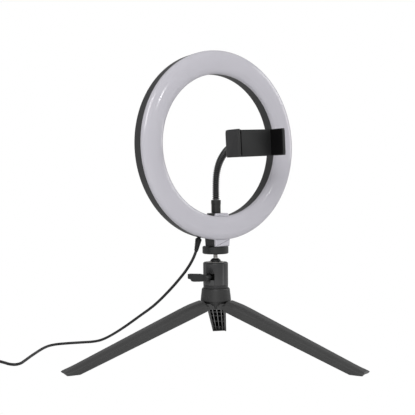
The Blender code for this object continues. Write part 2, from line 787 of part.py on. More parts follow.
def led_board_shape(inside, low, high):
    """An annular board with a row of raised light chips on every other step of its middle band."""
    shape = bmesh.new()
    steps, middle = 64, inside + BOARD_WIDTH / 2
    rows = [(inside, low), (inside + BOARD_WIDTH, low), (inside + BOARD_WIDTH, high), (middle + 0.0014, high),
            (middle - 0.0014, high), (inside, high)]
    rings = []
    for step in range(steps):
        angle = math.tau * step / steps
        rings.append(
            [shape.verts.new((r * math.cos(angle), r * math.sin(angle), z)) for r, z in rows]
        )
    chips = []
    for step, ring in enumerate(rings):
        following = rings[(step + 1) % steps]
        for k in range(len(rows)):
            n = (k + 1) % len(rows)
            face = shape.faces.new((ring[k], ring[n], following[n], following[k]))
            if k == 3 and step % 2 == 0:
                chips.append(face)
    for chip in chips:
        raised = bmesh.ops.extrude_discrete_faces(shape, faces=[chip])["faces"][0]
        ends = list(raised.verts)
        bmesh.ops.translate(shape, vec=(0, 0, LED_HEIGHT), verts=ends)
    return shape


make_lamp()


# ---------------------------------------------------------------- goose-neck

hinges = [Vector((0, -forward, height)) for forward, height in HOSE_HINGES]
swivel_centre = Vector((0, -SWIVEL_FORWARD, CLAMP_HEIGHT))


def make_goose_neck():
    root = Vector((0, FERRULE_BACK, 0))
    ferrule = turned(
        [
            (0, 0.1955), (0.0039, 0.1955), (0.0039, BOSS_TOP + GAP), (FERRULE_RADIUS - 0.0004, BOSS_TOP + GAP),
            (FERRULE_RADIUS, BOSS_TOP + 0.0010), (FERRULE_RADIUS, FERRULE_TOP - 0.0006),
            (FERRULE_RADIUS - 0.0007, FERRULE_TOP), (0, FERRULE_TOP),
        ],
        24,
        closed=False,
    )
    piece("hose_ferrule", ferrule, black_abs, stand, root)
    stops = [*hinges, swivel_centre]
    for number, name in enumerate(("hose_lower", "hose_middle", "hose_upper", "hose_end")):
        start, end = stops[number], stops[number + 1]
        length = (end - start).length
        reach = length - HOSE_RADIUS - 0.0005 if number < 3 else length - 0.0175
        ball = [
            (HOSE_RADIUS * math.sin(a), -HOSE_RADIUS * math.cos(a))
            for a in [math.radians(step) for step in (0, 30, 60, 90)]
        ]
        shape = turned([*ball, (HOSE_RADIUS, reach), (0, reach)], 16, closed=False)
        carrier = anchor(f"{name}_hinge", start, stand)
        piece(name, turn(shape, towards((0, 0, 0), end - start)), rubber, carrier)
    line = swivel_centre - hinges[-1]
    length = line.length
    neck = math.asin(SWIVEL_NECK / SWIVEL_BALL)
    arc = [
        (SWIVEL_BALL * math.sin(a), length - SWIVEL_BALL * math.cos(a))
        for a in [neck + (math.pi - neck) * step / 8 for step in range(9)]
    ]
    stem = [
        (0, length - 0.0172), (0.0054, length - 0.0172), (0.0056, length - 0.0168), (0.0056, length - 0.0098),
        (SWIVEL_NECK, length - 0.0088), *arc[:-1], (0, length + SWIVEL_BALL),
    ]
    carrier = bpy.data.objects["hose_end_hinge"]
    piece("swivel_ball", turn(turned(stem, 20, closed=False), towards((0, 0, 0), line)), steel, carrier)


make_goose_neck()


# ---------------------------------------------------------------- phone clamp
# the clamp's own frame: origin at the swivel ball, X along the jaws' travel, +Z up, the jaws reach to -Y

clamp = anchor("clamp_frame", swivel_centre, stand, (0, -CLAMP_ROLL, 0))


def span(low_x, high_x, back, front, low_z, high_z, round_off=0.0):
    """A block in the clamp's frame, given by its distances in front of the stand's axis."""
    return block(
        (low_x, SWIVEL_FORWARD - front, low_z), (high_x, SWIVEL_FORWARD - back, high_z), round_off
    )


def make_clamp():
    half, tall, jaw_tall = JAW_GAP / 2, CLAMP_TALL / 2, JAW_TALL / 2
    cover_front = CLAMP_BACK + COVER_THICK
    body_back = cover_front + GAP
    body = piece(
        "clamp_body",
        span(-half, half + 0.0005, body_back, PLATE_FRONT, -tall, tall),
        black_abs,
        clamp,
    )
    cut(body, span(half, half + JAW_THICK, body_back, JAW_FRONT, -tall, tall), "UNION")
    stop = 0.0053
    deep = PLATE_FRONT - 0.0020
    cut(body, span(-half + 0.0025, stop, body_back - 0.001, deep, -0.0123, 0.0123))
    cut(body, span(-half - 0.001, -half + 0.004, body_back - 0.001, deep, -0.0050, 0.0050))
    rod_depth = (body_back + deep) / 2
    along = Matrix.Translation((0, SWIVEL_FORWARD - rod_depth, 0)) @ Matrix.Rotation(math.pi / 2, 4, "Y")
    rod_ends = (-half + 0.0010, stop + 0.0018)
    for number, height in enumerate((ROD_SPREAD, -ROD_SPREAD), 1):
        lift = Matrix.Translation((0, 0, height))
        hole = turn(turn(rod(ROD_RADIUS + 0.00015, rod_ends[0] - GAP, rod_ends[1] + GAP, 12), along), lift)
        cut(body, hole)
        piece(f"guide_rod_{number}", turn(turn(rod(ROD_RADIUS, *rod_ends, 12), along), lift), steel, clamp)
        start, end = -half + 0.0025 + 0.0009, -0.0020 - 0.0009
        spring_length = end - start
        points = [
            Vector((
                start + spring_length * step / (SPRING_TURNS * 8),
                SWIVEL_FORWARD - rod_depth + SPRING_RADIUS * math.cos(math.tau * step / 8),
                height + SPRING_RADIUS * math.sin(math.tau * step / 8),
            ))
            for step in range(SPRING_TURNS * 8 + 1)
        ]
        spring = swept(f"clamp_spring_{number}", points, SPRING_WIRE, steel, clamp)
        spring.data.bevel_resolution = 0

    jaw_x = -half - GAP
    outer_x = jaw_x - JAW_THICK + 0.0007
    plan = [
        (outer_x, JAW_SLANT), (outer_x + 0.0042, JAW_BACK), (jaw_x, JAW_BACK), (jaw_x, JAW_FRONT),
        (outer_x, JAW_FRONT),
    ]
    upright = Matrix.Translation((0, SWIVEL_FORWARD, 0)) @ Matrix.Rotation(math.pi / 2, 4, "X")
    jaw = piece("clamp_jaw", turn(prism(plan, jaw_tall), upright), black_abs, clamp)
    arm_back, arm_front = body_back + 0.0004, deep - 0.0004
    cut(jaw, span(jaw_x - 0.001, 0.0010, arm_back, arm_front, -0.0047, 0.0047), "UNION")
    cut(jaw, span(-0.0020, 0.0050, arm_back, arm_front, -0.0119, 0.0119), "UNION")
    for height in (ROD_SPREAD, -ROD_SPREAD):
        cut(jaw, turn(turn(rod(ROD_RADIUS + 0.0003, -0.006, 0.008, 12), along), Matrix.Translation((0, 0, height))))

    pad_back, pad_front = PLATE_FRONT + 0.0006, JAW_FRONT - 0.0010
    pad_half = jaw_tall - 0.0009
    piece(
        "pad_fixed",
        span(half - GAP - PAD_THICK, half - GAP, pad_back, pad_front, -pad_half + 0.0005, pad_half + 0.0003),
        rubber,
        clamp,
    )
    piece(
        "pad_sliding",
        span(jaw_x + GAP, jaw_x + GAP + PAD_THICK, pad_back, pad_front, -pad_half, pad_half),
        rubber,
        clamp,
    )

    cover = piece(
        "clamp_cover",
        span(-half, half + JAW_THICK, CLAMP_BACK, cover_front, -tall, tall),
        black_abs,
        clamp,
    )
    out = Matrix.Rotation(math.pi / 2, 4, "X")
    boss_length = CLAMP_BACK - SWIVEL_FORWARD
    cut(cover, turn(rod(0.0082, -0.0012, boss_length + 0.0006, 24), out), "UNION")
    cut(cover, turn(ball_shape(SWIVEL_BALL + GAP, 0.002), out))
    piece(
        "swivel_nut",
        turn(
            turned(
                [
                    (0.0085, boss_length - GAP), (0.0105, boss_length - GAP), (0.0105, -0.0040),
                    (0.0092, -0.0050), (0.0051, -0.0050), (0.0048, -0.0040), (SWIVEL_BALL + GAP, -0.0016),
                    (0.0085, -0.0016),
                ],
                28,
            ),
            out,
        ),
        black_abs,
        clamp,
    )
    for number, height in enumerate((0.0095, -0.0095), 1):
        at = Matrix.Translation((0.019, 0, height))
        cut(cover, turn(turn(rod(0.0028, boss_length - 0.002, boss_length + 0.0011, 14), out), at))
        cut(cover, turn(turn(rod(0.0014, boss_length, boss_length + 0.004, 10), out), at))
        cut(body, turn(turn(rod(0.0013, boss_length, boss_length + 0.0075, 10), out), at))
        screw = turned(
            [
                (0, boss_length + 0.0001), (0.0025, boss_length + 0.0001), (0.0025, boss_length + 0.0009),
                (0.0011, boss_length + 0.0009), (0.0011, boss_length + 0.0068), (0, boss_length + 0.0072),
            ],
            12,
            closed=False,
        )
        piece(f"cover_screw_{number}", turn(turn(screw, out), at), steel, clamp)


def ball_shape(radius, mouth):
    """A ball joined to a short cylinder that opens it to the back."""
    arc = [(radius * math.cos(a), radius * math.sin(a)) for a in [math.radians(s) for s in (0, 22, 45, 67)]]
    return turned([(0, -mouth - 0.001), (radius, -mouth - 0.001), *arc, (0, radius)], 24, closed=False)


make_clamp()


# ---------------------------------------------------------------- cord, controller and plug


def make_cord():
    swept("cord_run", smooth_line(CORD_ROUTE, 5.0 * CORD_RADIUS), CORD_RADIUS, cord_vinyl, stand)
    swept("cord_tail", smooth_line(TAIL_ROUTE, 5.0 * CORD_RADIUS), CORD_RADIUS, cord_vinyl, stand)
    swept("cord_lead", smooth_line(LEAD_ROUTE, 5.0 * CORD_RADIUS), CORD_RADIUS, cord_vinyl, stand)
    half = COIL_WIDTH / 2
    low = TIE_THICK + 2 * GAP
    high = low + COIL_TALL
    corner = 0.0018
    section = [
        (COIL_MIDDLE + half, low + corner), (COIL_MIDDLE + half, high - corner),
        (COIL_MIDDLE + half - corner, high), (COIL_MIDDLE - half + corner, high),
        (COIL_MIDDLE - half, high - corner), (COIL_MIDDLE - half, low + corner),
        (COIL_MIDDLE - half + corner, low), (COIL_MIDDLE + half - corner, low),
    ]
    piece("cord_coil", turned(section, 40), cord_vinyl, stand, (*COIL_CENTRE, 0))
    frame = block(
        (-0.0025, -half - GAP - TIE_THICK, low - GAP - TIE_THICK + GAP),
        (0.0025, half + GAP + TIE_THICK, high + GAP + TIE_THICK),
    )
    tie = piece("cord_tie", frame, rubber, stand, (COIL_CENTRE[0] - COIL_MIDDLE, COIL_CENTRE[1], 0))
    tie.rotation_euler = (0, 0, math.pi / 2)
    cut(tie, block((-0.01, -half - GAP, low - GAP + 0.0001), (0.01, half + GAP, high + GAP)))

    control = anchor("control_frame", (*CONTROL_CENTRE, 0), stand)
    length, width, tall = CONTROL_LENGTH / 2, CONTROL_WIDTH / 2, CONTROL_TALL
    split = 0.0052
    bottom = piece(
        "control_base", block((-length, -width, 0), (length, width, split - FINE)), black_abs, control
    )
    cut(bottom, block((-length + 0.002, -width + 0.0018, 0.0016), (length - 0.002, width - 0.0018, 0.02)))
    lid = piece(
        "control_cover", block((-length, -width, split + FINE), (length, width, tall)), black_abs, control
    )
    cut(lid, block((-length + 0.002, -width + 0.0018, -0.01), (length - 0.002, width - 0.0018, tall - 0.0016)))
    piece(
        "control_board",
        block((-length + 0.0035, -width + 0.0026, 0.0019), (length - 0.0035, width - 0.0026, 0.0035)),
        board_white,
        control,
    )
    for number, name in enumerate(("button_power", "button_colour", "button_brighter", "button_dimmer")):
        place = ((number - 1.5) * BUTTON_PITCH, 0, 0)
        hole = turn(rod(BUTTON_RADIUS + 0.0002, tall - 0.004, tall + 0.004, 20), Matrix.Translation(place))
        cut(lid, hole)
        cap = turned(
            [
                (0, 0.0048), (BUTTON_RADIUS + 0.0008, 0.0048), (BUTTON_RADIUS + 0.0008, tall - 0.0029),
                (BUTTON_RADIUS, tall - 0.0029), (BUTTON_RADIUS, tall + 0.0010), (BUTTON_RADIUS - 0.0005, tall + 0.0013),
                (0, tall + 0.0013),
            ],
            20,
            closed=False,
        )
        piece(name, cap, rubber, control, place)

    plug = anchor("plug_frame", (*PLUG_CENTRE, 0), stand)
    grip = block((-0.0060, -0.0062, 0.0004), (PLUG_LENGTH - 0.0060, 0.0062, 0.0084), 0.0012)
    piece("usb_plug", grip, black_abs, plug)
    blade = block((-0.0063 - SHELL_LENGTH, -0.0060, 0.0021), (-0.0063, 0.0060, 0.0066))
    shield = piece("usb_shield", blade, steel, plug)
    cut(shield, block((-0.0070 - SHELL_LENGTH, -0.0056, 0.0025), (-0.0073, 0.0056, 0.0062)))


make_cord()
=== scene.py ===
"""A table ring light with a goose-neck phone clamp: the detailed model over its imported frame."""

import json
import math

import bmesh
import bpy
from mathutils import Matrix, Vector


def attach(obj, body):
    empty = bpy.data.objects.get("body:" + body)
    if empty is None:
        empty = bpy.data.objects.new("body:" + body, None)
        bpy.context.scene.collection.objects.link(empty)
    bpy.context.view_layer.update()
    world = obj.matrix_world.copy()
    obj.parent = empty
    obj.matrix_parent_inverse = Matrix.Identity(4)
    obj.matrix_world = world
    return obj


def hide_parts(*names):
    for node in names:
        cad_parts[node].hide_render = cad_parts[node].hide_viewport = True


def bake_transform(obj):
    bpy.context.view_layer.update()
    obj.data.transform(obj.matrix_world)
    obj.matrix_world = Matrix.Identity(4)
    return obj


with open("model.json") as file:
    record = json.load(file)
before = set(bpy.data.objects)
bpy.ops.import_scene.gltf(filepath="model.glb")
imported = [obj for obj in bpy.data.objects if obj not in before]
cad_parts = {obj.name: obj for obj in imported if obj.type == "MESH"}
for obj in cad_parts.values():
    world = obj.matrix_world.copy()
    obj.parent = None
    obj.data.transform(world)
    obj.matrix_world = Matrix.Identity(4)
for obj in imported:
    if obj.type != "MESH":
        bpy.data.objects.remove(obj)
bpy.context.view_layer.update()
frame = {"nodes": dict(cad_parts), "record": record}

joints = {joint["name"]: joint for joint in frame["record"]["behaviour"]["joints"]}
AXIS = Vector((*joints["ball_turn"]["pos_m"][:2], 0.0))  # the stand's upright axis, on the floor
TO_ROW = Matrix.Translation(AXIS) @ Matrix.Scale(0.001, 4)  # from millimetres about that axis


# ---------------------------------------------------------------- camera
# A long-lens product view from the front left, a little above the lamp's middle.

eye = AXIS + Vector((-0.6808, -0.8907, 0.2341))
right = Vector((0.8001, -0.5998, -0.0082))
up = Vector((0.0199, 0.0128, 0.9997))
ahead = Vector((0.5996, 0.8, -0.0222))
camera = bpy.data.objects.new("camera", bpy.data.cameras.new("camera"))
bpy.context.collection.objects.link(camera)
camera.matrix_world = Matrix.Translation(eye) @ Matrix((right, up, -ahead)).transposed().to_4x4()
camera.data.lens = 69.71
camera.data.sensor_width = 36.0
camera.data.clip_start, camera.data.clip_end = 0.05, 50.0
bpy.context.scene.camera = camera


# ---------------------------------------------------------------- cord
# A thin black vinyl lead. It hangs from the lamp's strain relief to the floor, runs off to the left and is
# wound into a tied coil; then it passes through the in-line controller and ends in a USB plug.

CORD_DIAMETER = 0.0039
CORD_ROUTE = [
    (-37.1, -4.8, 150.0), (-39.2, -1.2, 140.5), (-41.6, 6.2, 129.0), (-44.6, 18.6, 115.0),
    (-49.8, 41.5, 93.6), (-56.0, 70.5, 70.4), (-63.2, 101.5, 50.6), (-70.3, 132.0, 31.8),
    (-76.7, 159.0, 16.8), (-81.6, 180.0, 7.4), (-87.5, 196.5, 2.9), (-104.5, 205.5, 2.3),
    (-123.0, 212.5, 2.2), (-142.5, 215.5, 2.2), (-163.5, 204.5, 2.2), (-198.8, 167.5, 2.2),
    (-226.5, 135.5, 2.2), (-237.6, 123.8, 2.2), (-246.0, 121.6, 2.2), (-250.9, 129.0, 2.2),
    (-252.6, 141.0, 2.2), (-254.6, 154.0, 2.2), (-258.4, 165.0, 2.2), (-263.6, 173.6, 3.2),
]
COIL_CENTRE = Vector((-292.0, 176.0, 0.0))
COIL_TURNS = [  # each turn's radius and height
    (23.7, 3.25), (20.0, 3.25), (16.3, 3.25), (16.3, 6.75), (20.0, 6.75), (18.2, 10.0), (21.8, 10.0), (23.7, 6.75),
]
COIL_STEPS = 40  # points in each turn
CROSSING = 1 / 2.2  # the share of a turn in which it moves over to the next
TAIL_ROUTE = [
    (-296.0, 203.9, 5.0), (-309.0, 204.2, 3.6), (-324.0, 205.0, 2.4), (-337.0, 209.0, 2.6),
    (-343.0, 217.5, 3.8), (-339.0, 225.0, 5.0), (-331.8, 226.0, 5.2),
]
LEAD_ROUTE = [
    (-260.2, 226.0, 5.2), (-253.5, 227.0, 4.4), (-247.8, 233.0, 3.2), (-249.0, 243.5, 3.2),
    (-256.5, 249.4, 4.0), (-266.4, 250.0, 4.3),
]


def smooth_line(route, steps=12):
    """Points on the smooth curve through the route."""
    knots = [Vector(place) for place in route]
    ends = [2 * knots[0] - knots[1], *knots, 2 * knots[-1] - knots[-2]]
    line = []
    for before, start, end, after in zip(ends, ends[1:], ends[2:], ends[3:]):
        for step in range(steps):
            t = step / steps
            line.append(
                0.5
                * (
                    2 * start
                    + (end - before) * t
                    + (2 * before - 5 * start + 4 * end - after) * t**2
                    + (3 * start - before - 3 * end + after) * t**3
                )
            )
    line.append(knots[-1])
    return line


def eased(share):
    """A share held between 0 and 1, with a soft start and end."""
    share = min(1.0, max(0.0, share))
    return share * share * (3 - 2 * share)


def coil_line(enter, leave):
    """The turns between the run's end and the tail's start, counter-clockwise about the coil's centre."""
    first, last = enter - COIL_CENTRE, leave - COIL_CENTRE
    start = math.atan2(first.y, first.x)
    sweep = math.tau * len(COIL_TURNS) + (math.atan2(last.y, last.x) - start) % math.tau
    rests = [(first.xy.length, first.z), *COIL_TURNS, (last.xy.length, last.z)]
    count = COIL_STEPS * len(COIL_TURNS)
    line = []
    for step in range(1, count):
        place = step / COIL_STEPS + 0.5
        low = int(place)
        share = eased((place - low - 0.5) / CROSSING + 0.5)
        radius, height = (a + (b - a) * share for a, b in zip(rests[low], rests[low + 1]))
        angle = start + sweep * step / count
        line.append(COIL_CENTRE + Vector((radius * math.cos(angle), radius * math.sin(angle), height)))
    return line


def round_cord(name, line):
    """One open curve through points given in millimetres about the stand's axis."""
    curve = bpy.data.curves.new(name, "CURVE")
    curve.dimensions = "3D"
    curve.bevel_depth = CORD_DIAMETER / 2
    curve.bevel_resolution = 5
    curve.use_fill_caps = True
    spline = curve.splines.new("POLY")
    spline.points.add(len(line) - 1)
    for dot, place in zip(spline.points, line):
        dot.co = (*(TO_ROW @ place), 1.0)
    spline.use_smooth = True
    guide = bpy.data.objects.new("guide", curve)
    bpy.context.collection.objects.link(guide)
    graph = bpy.context.evaluated_depsgraph_get()
    made = bpy.data.objects.new(name, bpy.data.meshes.new_from_object(guide.evaluated_get(graph)))
    bpy.data.objects.remove(guide)
    bpy.context.collection.objects.link(made)
    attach(made, "tripod")
    return made


run_line, tail_line, lead_line = (smooth_line(route) for route in (CORD_ROUTE, TAIL_ROUTE, LEAD_ROUTE))
main_line = [*run_line, *coil_line(run_line[-1], tail_line[0]), *tail_line]
main_cord = round_cord("cord", main_line)
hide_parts("cord_run", "cord_coil", "cord_tail")
plug_cord = round_cord("plug_cord", lead_line)
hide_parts("cord_lead")


# ---------------------------------------------------------------- finishes
# Mostly satin and grained dark mouldings, with rubber, plated and turned metal, and an opal front: each has two
# tones that drift into one another and a fine grain, and the mouldings' edges are painted a little lighter, partly as
# wear and partly as a painted highlight. The legs' channels and the knob's pocket are lined with painted shade.


def linear(code):
    """The linear colour of an sRGB hex code."""
    parts = [int(code[k : k + 2], 16) / 255 for k in (0, 2, 4)]
    return (*[c / 12.92 if c <= 0.04045 else ((c + 0.055) / 1.055) ** 2.4 for c in parts], 1.0)


def add(tree, kind, **sockets):
    """A node with its named input sockets set or linked; attributes are given with a trailing underscore."""
    made = tree.nodes.new(kind)
    for key, value in sockets.items():
        if key.endswith("_"):
            setattr(made, key[:-1], value)
            continue
        socket = made.inputs[key.replace("__", " ")] if key[0].isalpha() else made.inputs[int(key[1:])]
        if isinstance(value, bpy.types.NodeSocket):
            tree.links.new(value, socket)
        else:
            socket.default_value = value
    return made


def blank(name):
    """A new material, its node tree and its shader."""
    material = bpy.data.materials.new(name)
    material.use_nodes = True
    return material, material.node_tree, material.node_tree.nodes["Principled BSDF"]


def drifting(tree, fac, dark, light):
    """A colour between two codes."""
    mixed = add(tree, "ShaderNodeMix", data_type_="RGBA", _0=fac, _6=linear(dark), _7=linear(light))
    return mixed.outputs[2]


def moulded(name, dark, light, roughness, grain_mm, depth_mm, metallic=0.0, edge=0.0):
    """A finish whose colour drifts between two codes, with a fine grain in its surface and lighter edges, partly wear
    and partly a painted highlight.
    """
    material, tree, shader = blank(name)
    place = add(tree, "ShaderNodeTexCoord").outputs["Object"]
    broad = add(tree, "ShaderNodeTexNoise", Vector=place, Scale=38.0, Detail=3.0)
    fine = add(tree, "ShaderNodeTexNoise", Vector=place, Scale=1000.0 / grain_mm, Detail=2.0)
    colour = drifting(tree, broad.outputs["Fac"], dark, light)
    # Convex edges are mixed towards a light grey: partly wear, partly a painted highlight.
    if edge:
        corner = add(tree, "ShaderNodeNewGeometry").outputs["Pointiness"]
        worn_and_lit = add(tree, "ShaderNodeMapRange", Value=corner, _1=0.52, _2=0.60, _3=0.0, _4=edge)
        brighter = add(tree, "ShaderNodeMix", data_type_="RGBA", _0=worn_and_lit.outputs[0], _6=colour, _7=linear("8c8c8c"))
        colour = brighter.outputs[2]
    tree.links.new(colour, shader.inputs["Base Color"])
    low, high = roughness - 0.05, roughness + 0.06
    rough = add(tree, "ShaderNodeMapRange", Value=fine.outputs["Fac"], _1=0.3, _2=0.7, _3=low, _4=high)
    tree.links.new(rough.outputs[0], shader.inputs["Roughness"])
    bump = add(tree, "ShaderNodeBump", Height=fine.outputs["Fac"], Strength=0.6, Distance=depth_mm / 1000)
    tree.links.new(bump.outputs[0], shader.inputs["Normal"])
    shader.inputs["Metallic"].default_value = metallic
    return material


# The edge values lighten convex edges, partly as wear and partly as a painted highlight; on the hose they light the
# rib crests.
leg_nylon = moulded("grained_grey_nylon", "3e3e3e", "464646", 0.40, 0.5, 0.004, edge=0.5)
# Near-black nylon: painted shade for the insides of the legs' channels and for the knob's pocket.
painted_shade_nylon = moulded("unlit_grey_nylon", "0c0c0c", "101010", 0.75, 0.35, 0.03)
# Light grey nylon: a painted highlight on the ribs' lower edges.
painted_highlight_nylon = moulded("rib_painted_highlight_nylon", "a0a0a0", "acacac", 0.5, 0.35, 0.02)
cup_nylon = moulded("hub_grey_nylon", "2d2d2d", "353535", 0.44, 0.5, 0.006, edge=0.4)
satin_abs = moulded("satin_grey_abs", "2b2b2c", "323233", 0.36, 0.3, 0.012, edge=0.3)
dark_abs = moulded("satin_black_abs", "222223", "292a2a", 0.40, 0.3, 0.012, edge=0.15)
shell_abs = moulded("matt_charcoal_abs", "2d2d2e", "343435", 0.50, 0.35, 0.02)
hose_skin = moulded("black_hose_jacket", "1c1c1d", "242425", 0.26, 0.5, 0.004, edge=0.5)
soft_rubber = moulded("black_rubber", "101011", "161617", 0.70, 0.4, 0.02)
pad_rubber = moulded("black_pad_rubber", "080809", "0d0d0e", 0.80, 0.4, 0.02)
vinyl = moulded("cord_vinyl", "19191a", "202021", 0.45, 0.6, 0.003)
nickel = moulded("bright_nickel_plate", "b9b4ac", "cfcac2", 0.22, 0.2, 0.002, metallic=1.0)
bright_nickel = moulded("polished_nickel", "efedea", "f6f4f2", 0.34, 0.2, 0.002, metallic=1.0)
turned_brass = moulded("turned_brass", "b08d4a", "c4a05a", 0.32, 0.2, 0.004, metallic=1.0)
white_mask = moulded("white_solder_mask", "d6d7d2", "e2e3de", 0.45, 0.5, 0.01)
bearing_acetal = moulded("natural_acetal", "d9d8d2", "e4e3de", 0.42, 0.3, 0.006)
for finish, shine in ((pad_rubber, 0.12), (painted_shade_nylon, 0.1)):
    finish.node_tree.nodes["Principled BSDF"].inputs["Specular IOR Level"].default_value = shine
for cord_piece in (main_cord, plug_cord):
    cord_piece.data.materials.append(vinyl)


# ---------------------------------------------------------------- tripod hub
# A moulded cup, wider at its skirt and drawn in below it, with three flat tongues for the legs.


def turned(outline, steps=128, closed=True):
    """A turned shape about Z from (radius, height) points; an open outline starts and ends on the axis."""
    shape = bmesh.new()
    corners = [shape.verts.new((radius, 0, height)) for radius, height in outline]
    pairs = list(zip(corners, corners[1:]))
    if closed:
        pairs.append((corners[-1], corners[0]))
    rim = [shape.edges.new(pair) for pair in pairs]
    bmesh.ops.spin(
        shape, geom=corners + rim, cent=(0, 0, 0), axis=(0, 0, 1), angle=math.tau, steps=steps, use_merge=True
    )
    bmesh.ops.remove_doubles(shape, verts=shape.verts, dist=1e-5)
    return shape


def rounded(outline, radius, closed=True, steps=4):
    """The outline with each corner that turns more than 20 degrees rounded off."""
    points = [Vector(place) for place in outline]
    made = []
    for k, here in enumerate(points):
        if not closed and k in (0, len(points) - 1):
            made.append(here)
            continue
        before, after = points[k - 1] - here, points[(k + 1) % len(points)] - here
        corner = before.angle(after)
        if math.pi - corner < math.radians(20) or min(before.length, after.length) < 0.05:
            made.append(here)
            continue
        back = min(radius / math.tan(corner / 2), before.length * 0.45, after.length * 0.45)
        first, last = here + before.normalized() * back, here + after.normalized() * back
        for step in range(steps + 1):
            t = step / steps
            made.append(first * (1 - t) ** 2 + here * 2 * t * (1 - t) + last * t**2)
    return [tuple(place) for place in made]


def prism(outline, half, middle=0.0):
    """A shape with this (x, z) outline, reaching this far to either side along Y."""
    shape = bmesh.new()
    sides = [[shape.verts.new((x, y, z)) for x, z in outline] for y in (middle - half, middle + half)]
    for ring in sides:
        shape.faces.new(ring)
    for k in range(len(outline)):
        n = (k + 1) % len(outline)
        shape.faces.new((sides[0][k], sides[0][n], sides[1][n], sides[1][k]))
    return shape


def arc(centre, radius, degrees):
    """Points of an outline on a circle, at these angles."""
    angles = [math.radians(a) for a in degrees]
    return [(centre[0] + radius * math.cos(a), centre[1] + radius * math.sin(a)) for a in angles]


def turn(shape, matrix):
    """Moves and turns a shape."""
    bmesh.ops.transform(shape, matrix=matrix, verts=shape.verts)
    return shape


def soften(shape, radius, segments=3, angle=30):
    """Rounds off every edge sharper than the angle."""
    bmesh.ops.recalc_face_normals(shape, faces=shape.faces)
    sharp = [
        edge
        for edge in shape.edges
        if len(edge.link_faces) == 2 and edge.calc_face_angle() > math.radians(angle)
    ]
    bmesh.ops.bevel(
        shape, geom=sharp, offset=radius, affect="EDGES", segments=segments, profile=0.5, material=-1,
        clamp_overlap=True,
    )
    return shape


def piece(name, shapes, material, body, *nodes, sharp=35, slot=None):
    """The named piece from shapes given in millimetres about the stand's axis; it replaces these CAD nodes."""
    mesh = bpy.data.meshes.new(name)
    whole = bmesh.new()
    for shape in shapes if isinstance(shapes, (list, tuple)) else [shapes]:
        bmesh.ops.recalc_face_normals(shape, faces=shape.faces)
        shape.to_mesh(mesh)
        shape.free()
        whole.from_mesh(mesh)
    bmesh.ops.transform(whole, matrix=TO_ROW, verts=whole.verts)
    whole.to_mesh(mesh)
    whole.free()
    mesh.shade_smooth()
    mesh.set_sharp_from_angle(angle=math.radians(sharp))
    mesh.materials.append(material)
    made = bpy.data.objects.new(name, mesh)
    bpy.context.collection.objects.link(made)
    made.modifiers.new("even_faces", "WEIGHTED_NORMAL").keep_sharp = True
    if body:
        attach(made, body)
    if nodes:
        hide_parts(*nodes)
    return made


def cut(target, shape, lining=None):
    """Cuts a shape out of the piece; the lining is the material of the cut's faces, such as a painted shade."""
    helper = piece("helper", shape, lining or target.data.materials[0], None)
    boolean = target.modifiers.new("cut", "BOOLEAN")
    boolean.operation, boolean.object, boolean.solver = "DIFFERENCE", helper, "EXACT"
    boolean.material_mode = "TRANSFER"
    graph = bpy.context.evaluated_depsgraph_get()
    result = bpy.data.meshes.new_from_object(target.evaluated_get(graph))
    target.modifiers.clear()
    target.data = result
    bpy.data.objects.remove(helper)
    result.shade_smooth()
    result.set_sharp_from_angle(angle=math.radians(35))
    target.modifiers.new("even_faces", "WEIGHTED_NORMAL").keep_sharp = True


def join(target, shapes):
    """Adds shapes to a piece after its cuts."""
    extra = piece("helper", shapes, target.data.materials[0], None)
    whole = bmesh.new()
    whole.from_mesh(target.data)
    whole.from_mesh(extra.data)
    whole.to_mesh(target.data)
    whole.free()
    bpy.data.objects.remove(extra)


def rod(radius, bottom, top, steps=48):
    """A cylinder about Z."""
    return turned([(0, bottom), (radius, bottom), (radius, top), (0, top)], steps, closed=False)


LEG_TURNS = {"leg_back": 51.0, "leg_left": 171.0, "leg_front": 291.0}
PIVOT = (24.0, 72.6)  # each leg's hinge, by its distance from the stand's axis and its height
KNUCKLE = 3.9  # the radius of the tongue's rounded end

cup = rounded(
    [
        (3.4, 97.0), (3.4, 78.0), (6.4, 78.0), (6.4, 68.3), (10.0, 68.3), (10.6, 70.9), (14.5, 73.6),
        (17.5, 77.2), (20.9, 79.3), (21.3, 80.1), (20.9, 84.0), (19.6, 95.2), (18.6, 97.0),
    ],
    0.7,
)
nose = arc(PIVOT, KNUCKLE, range(90, -91, -15))
tongue_outline = [(7.6, PIVOT[1] + KNUCKLE), *nose, (7.6, PIVOT[1] - KNUCKLE)]
hub_shapes = [turned(cup)]
for leg_angle in LEG_TURNS.values():
    tongue = soften(prism(tongue_outline, 9.9), 0.4, 2)
    hub_shapes.append(turn(tongue, Matrix.Rotation(math.radians(leg_angle), 4, "Z")))
piece("hub", hub_shapes, cup_nylon, "tripod", "tripod_hub", slot="grey_nylon")


# ---------------------------------------------------------------- legs
# Three moulded legs: a channel open below, its top crowned and drawn in near the hub, ribs inside it, and a
# solid foot with a flat sole.

LEG_STATIONS = [
    17.3, 17.8, 18.8, 20.2, 21.66, 22.8, 25, 28, 31, 34, 37, 40, 43, 46, 49, 52, 54.5, 57, 60, 65, 72, 82, 94,
    110, 130, 150, 170, 190, 198, 202.6, 212, 216, 219.5, 220.6, 221.4, 222.0,
]
HEEL, TOE, TIP = 202.6, 219.5, 222.0  # where the flat sole starts and ends, and the leg's end
EYE, EYE_END = 6.8, 21.66  # the hinge eye's radius, and where it runs into the channel
EYE_LOW = 66.21  # the underside's height there
CHANNEL_END = 198.0  # where the channel gives way to the solid foot


def leg_half(r):
    """Half of the leg's width at this distance from the hub's axis."""
    taper = min(1.0, max(0.0, (r - PIVOT[0]) / (HEEL - PIVOT[0])))
    end = max(0.0, (r - 214.0) / (TIP - 214.0))
    return (27.0 - 5.0 * taper) / 2 - 2.0 * end**2


def eye_rise(r):
    """How far the hinge eye reaches above and below its axis."""
    return math.sqrt(max(0.0, EYE**2 - (PIVOT[0] - r) ** 2))


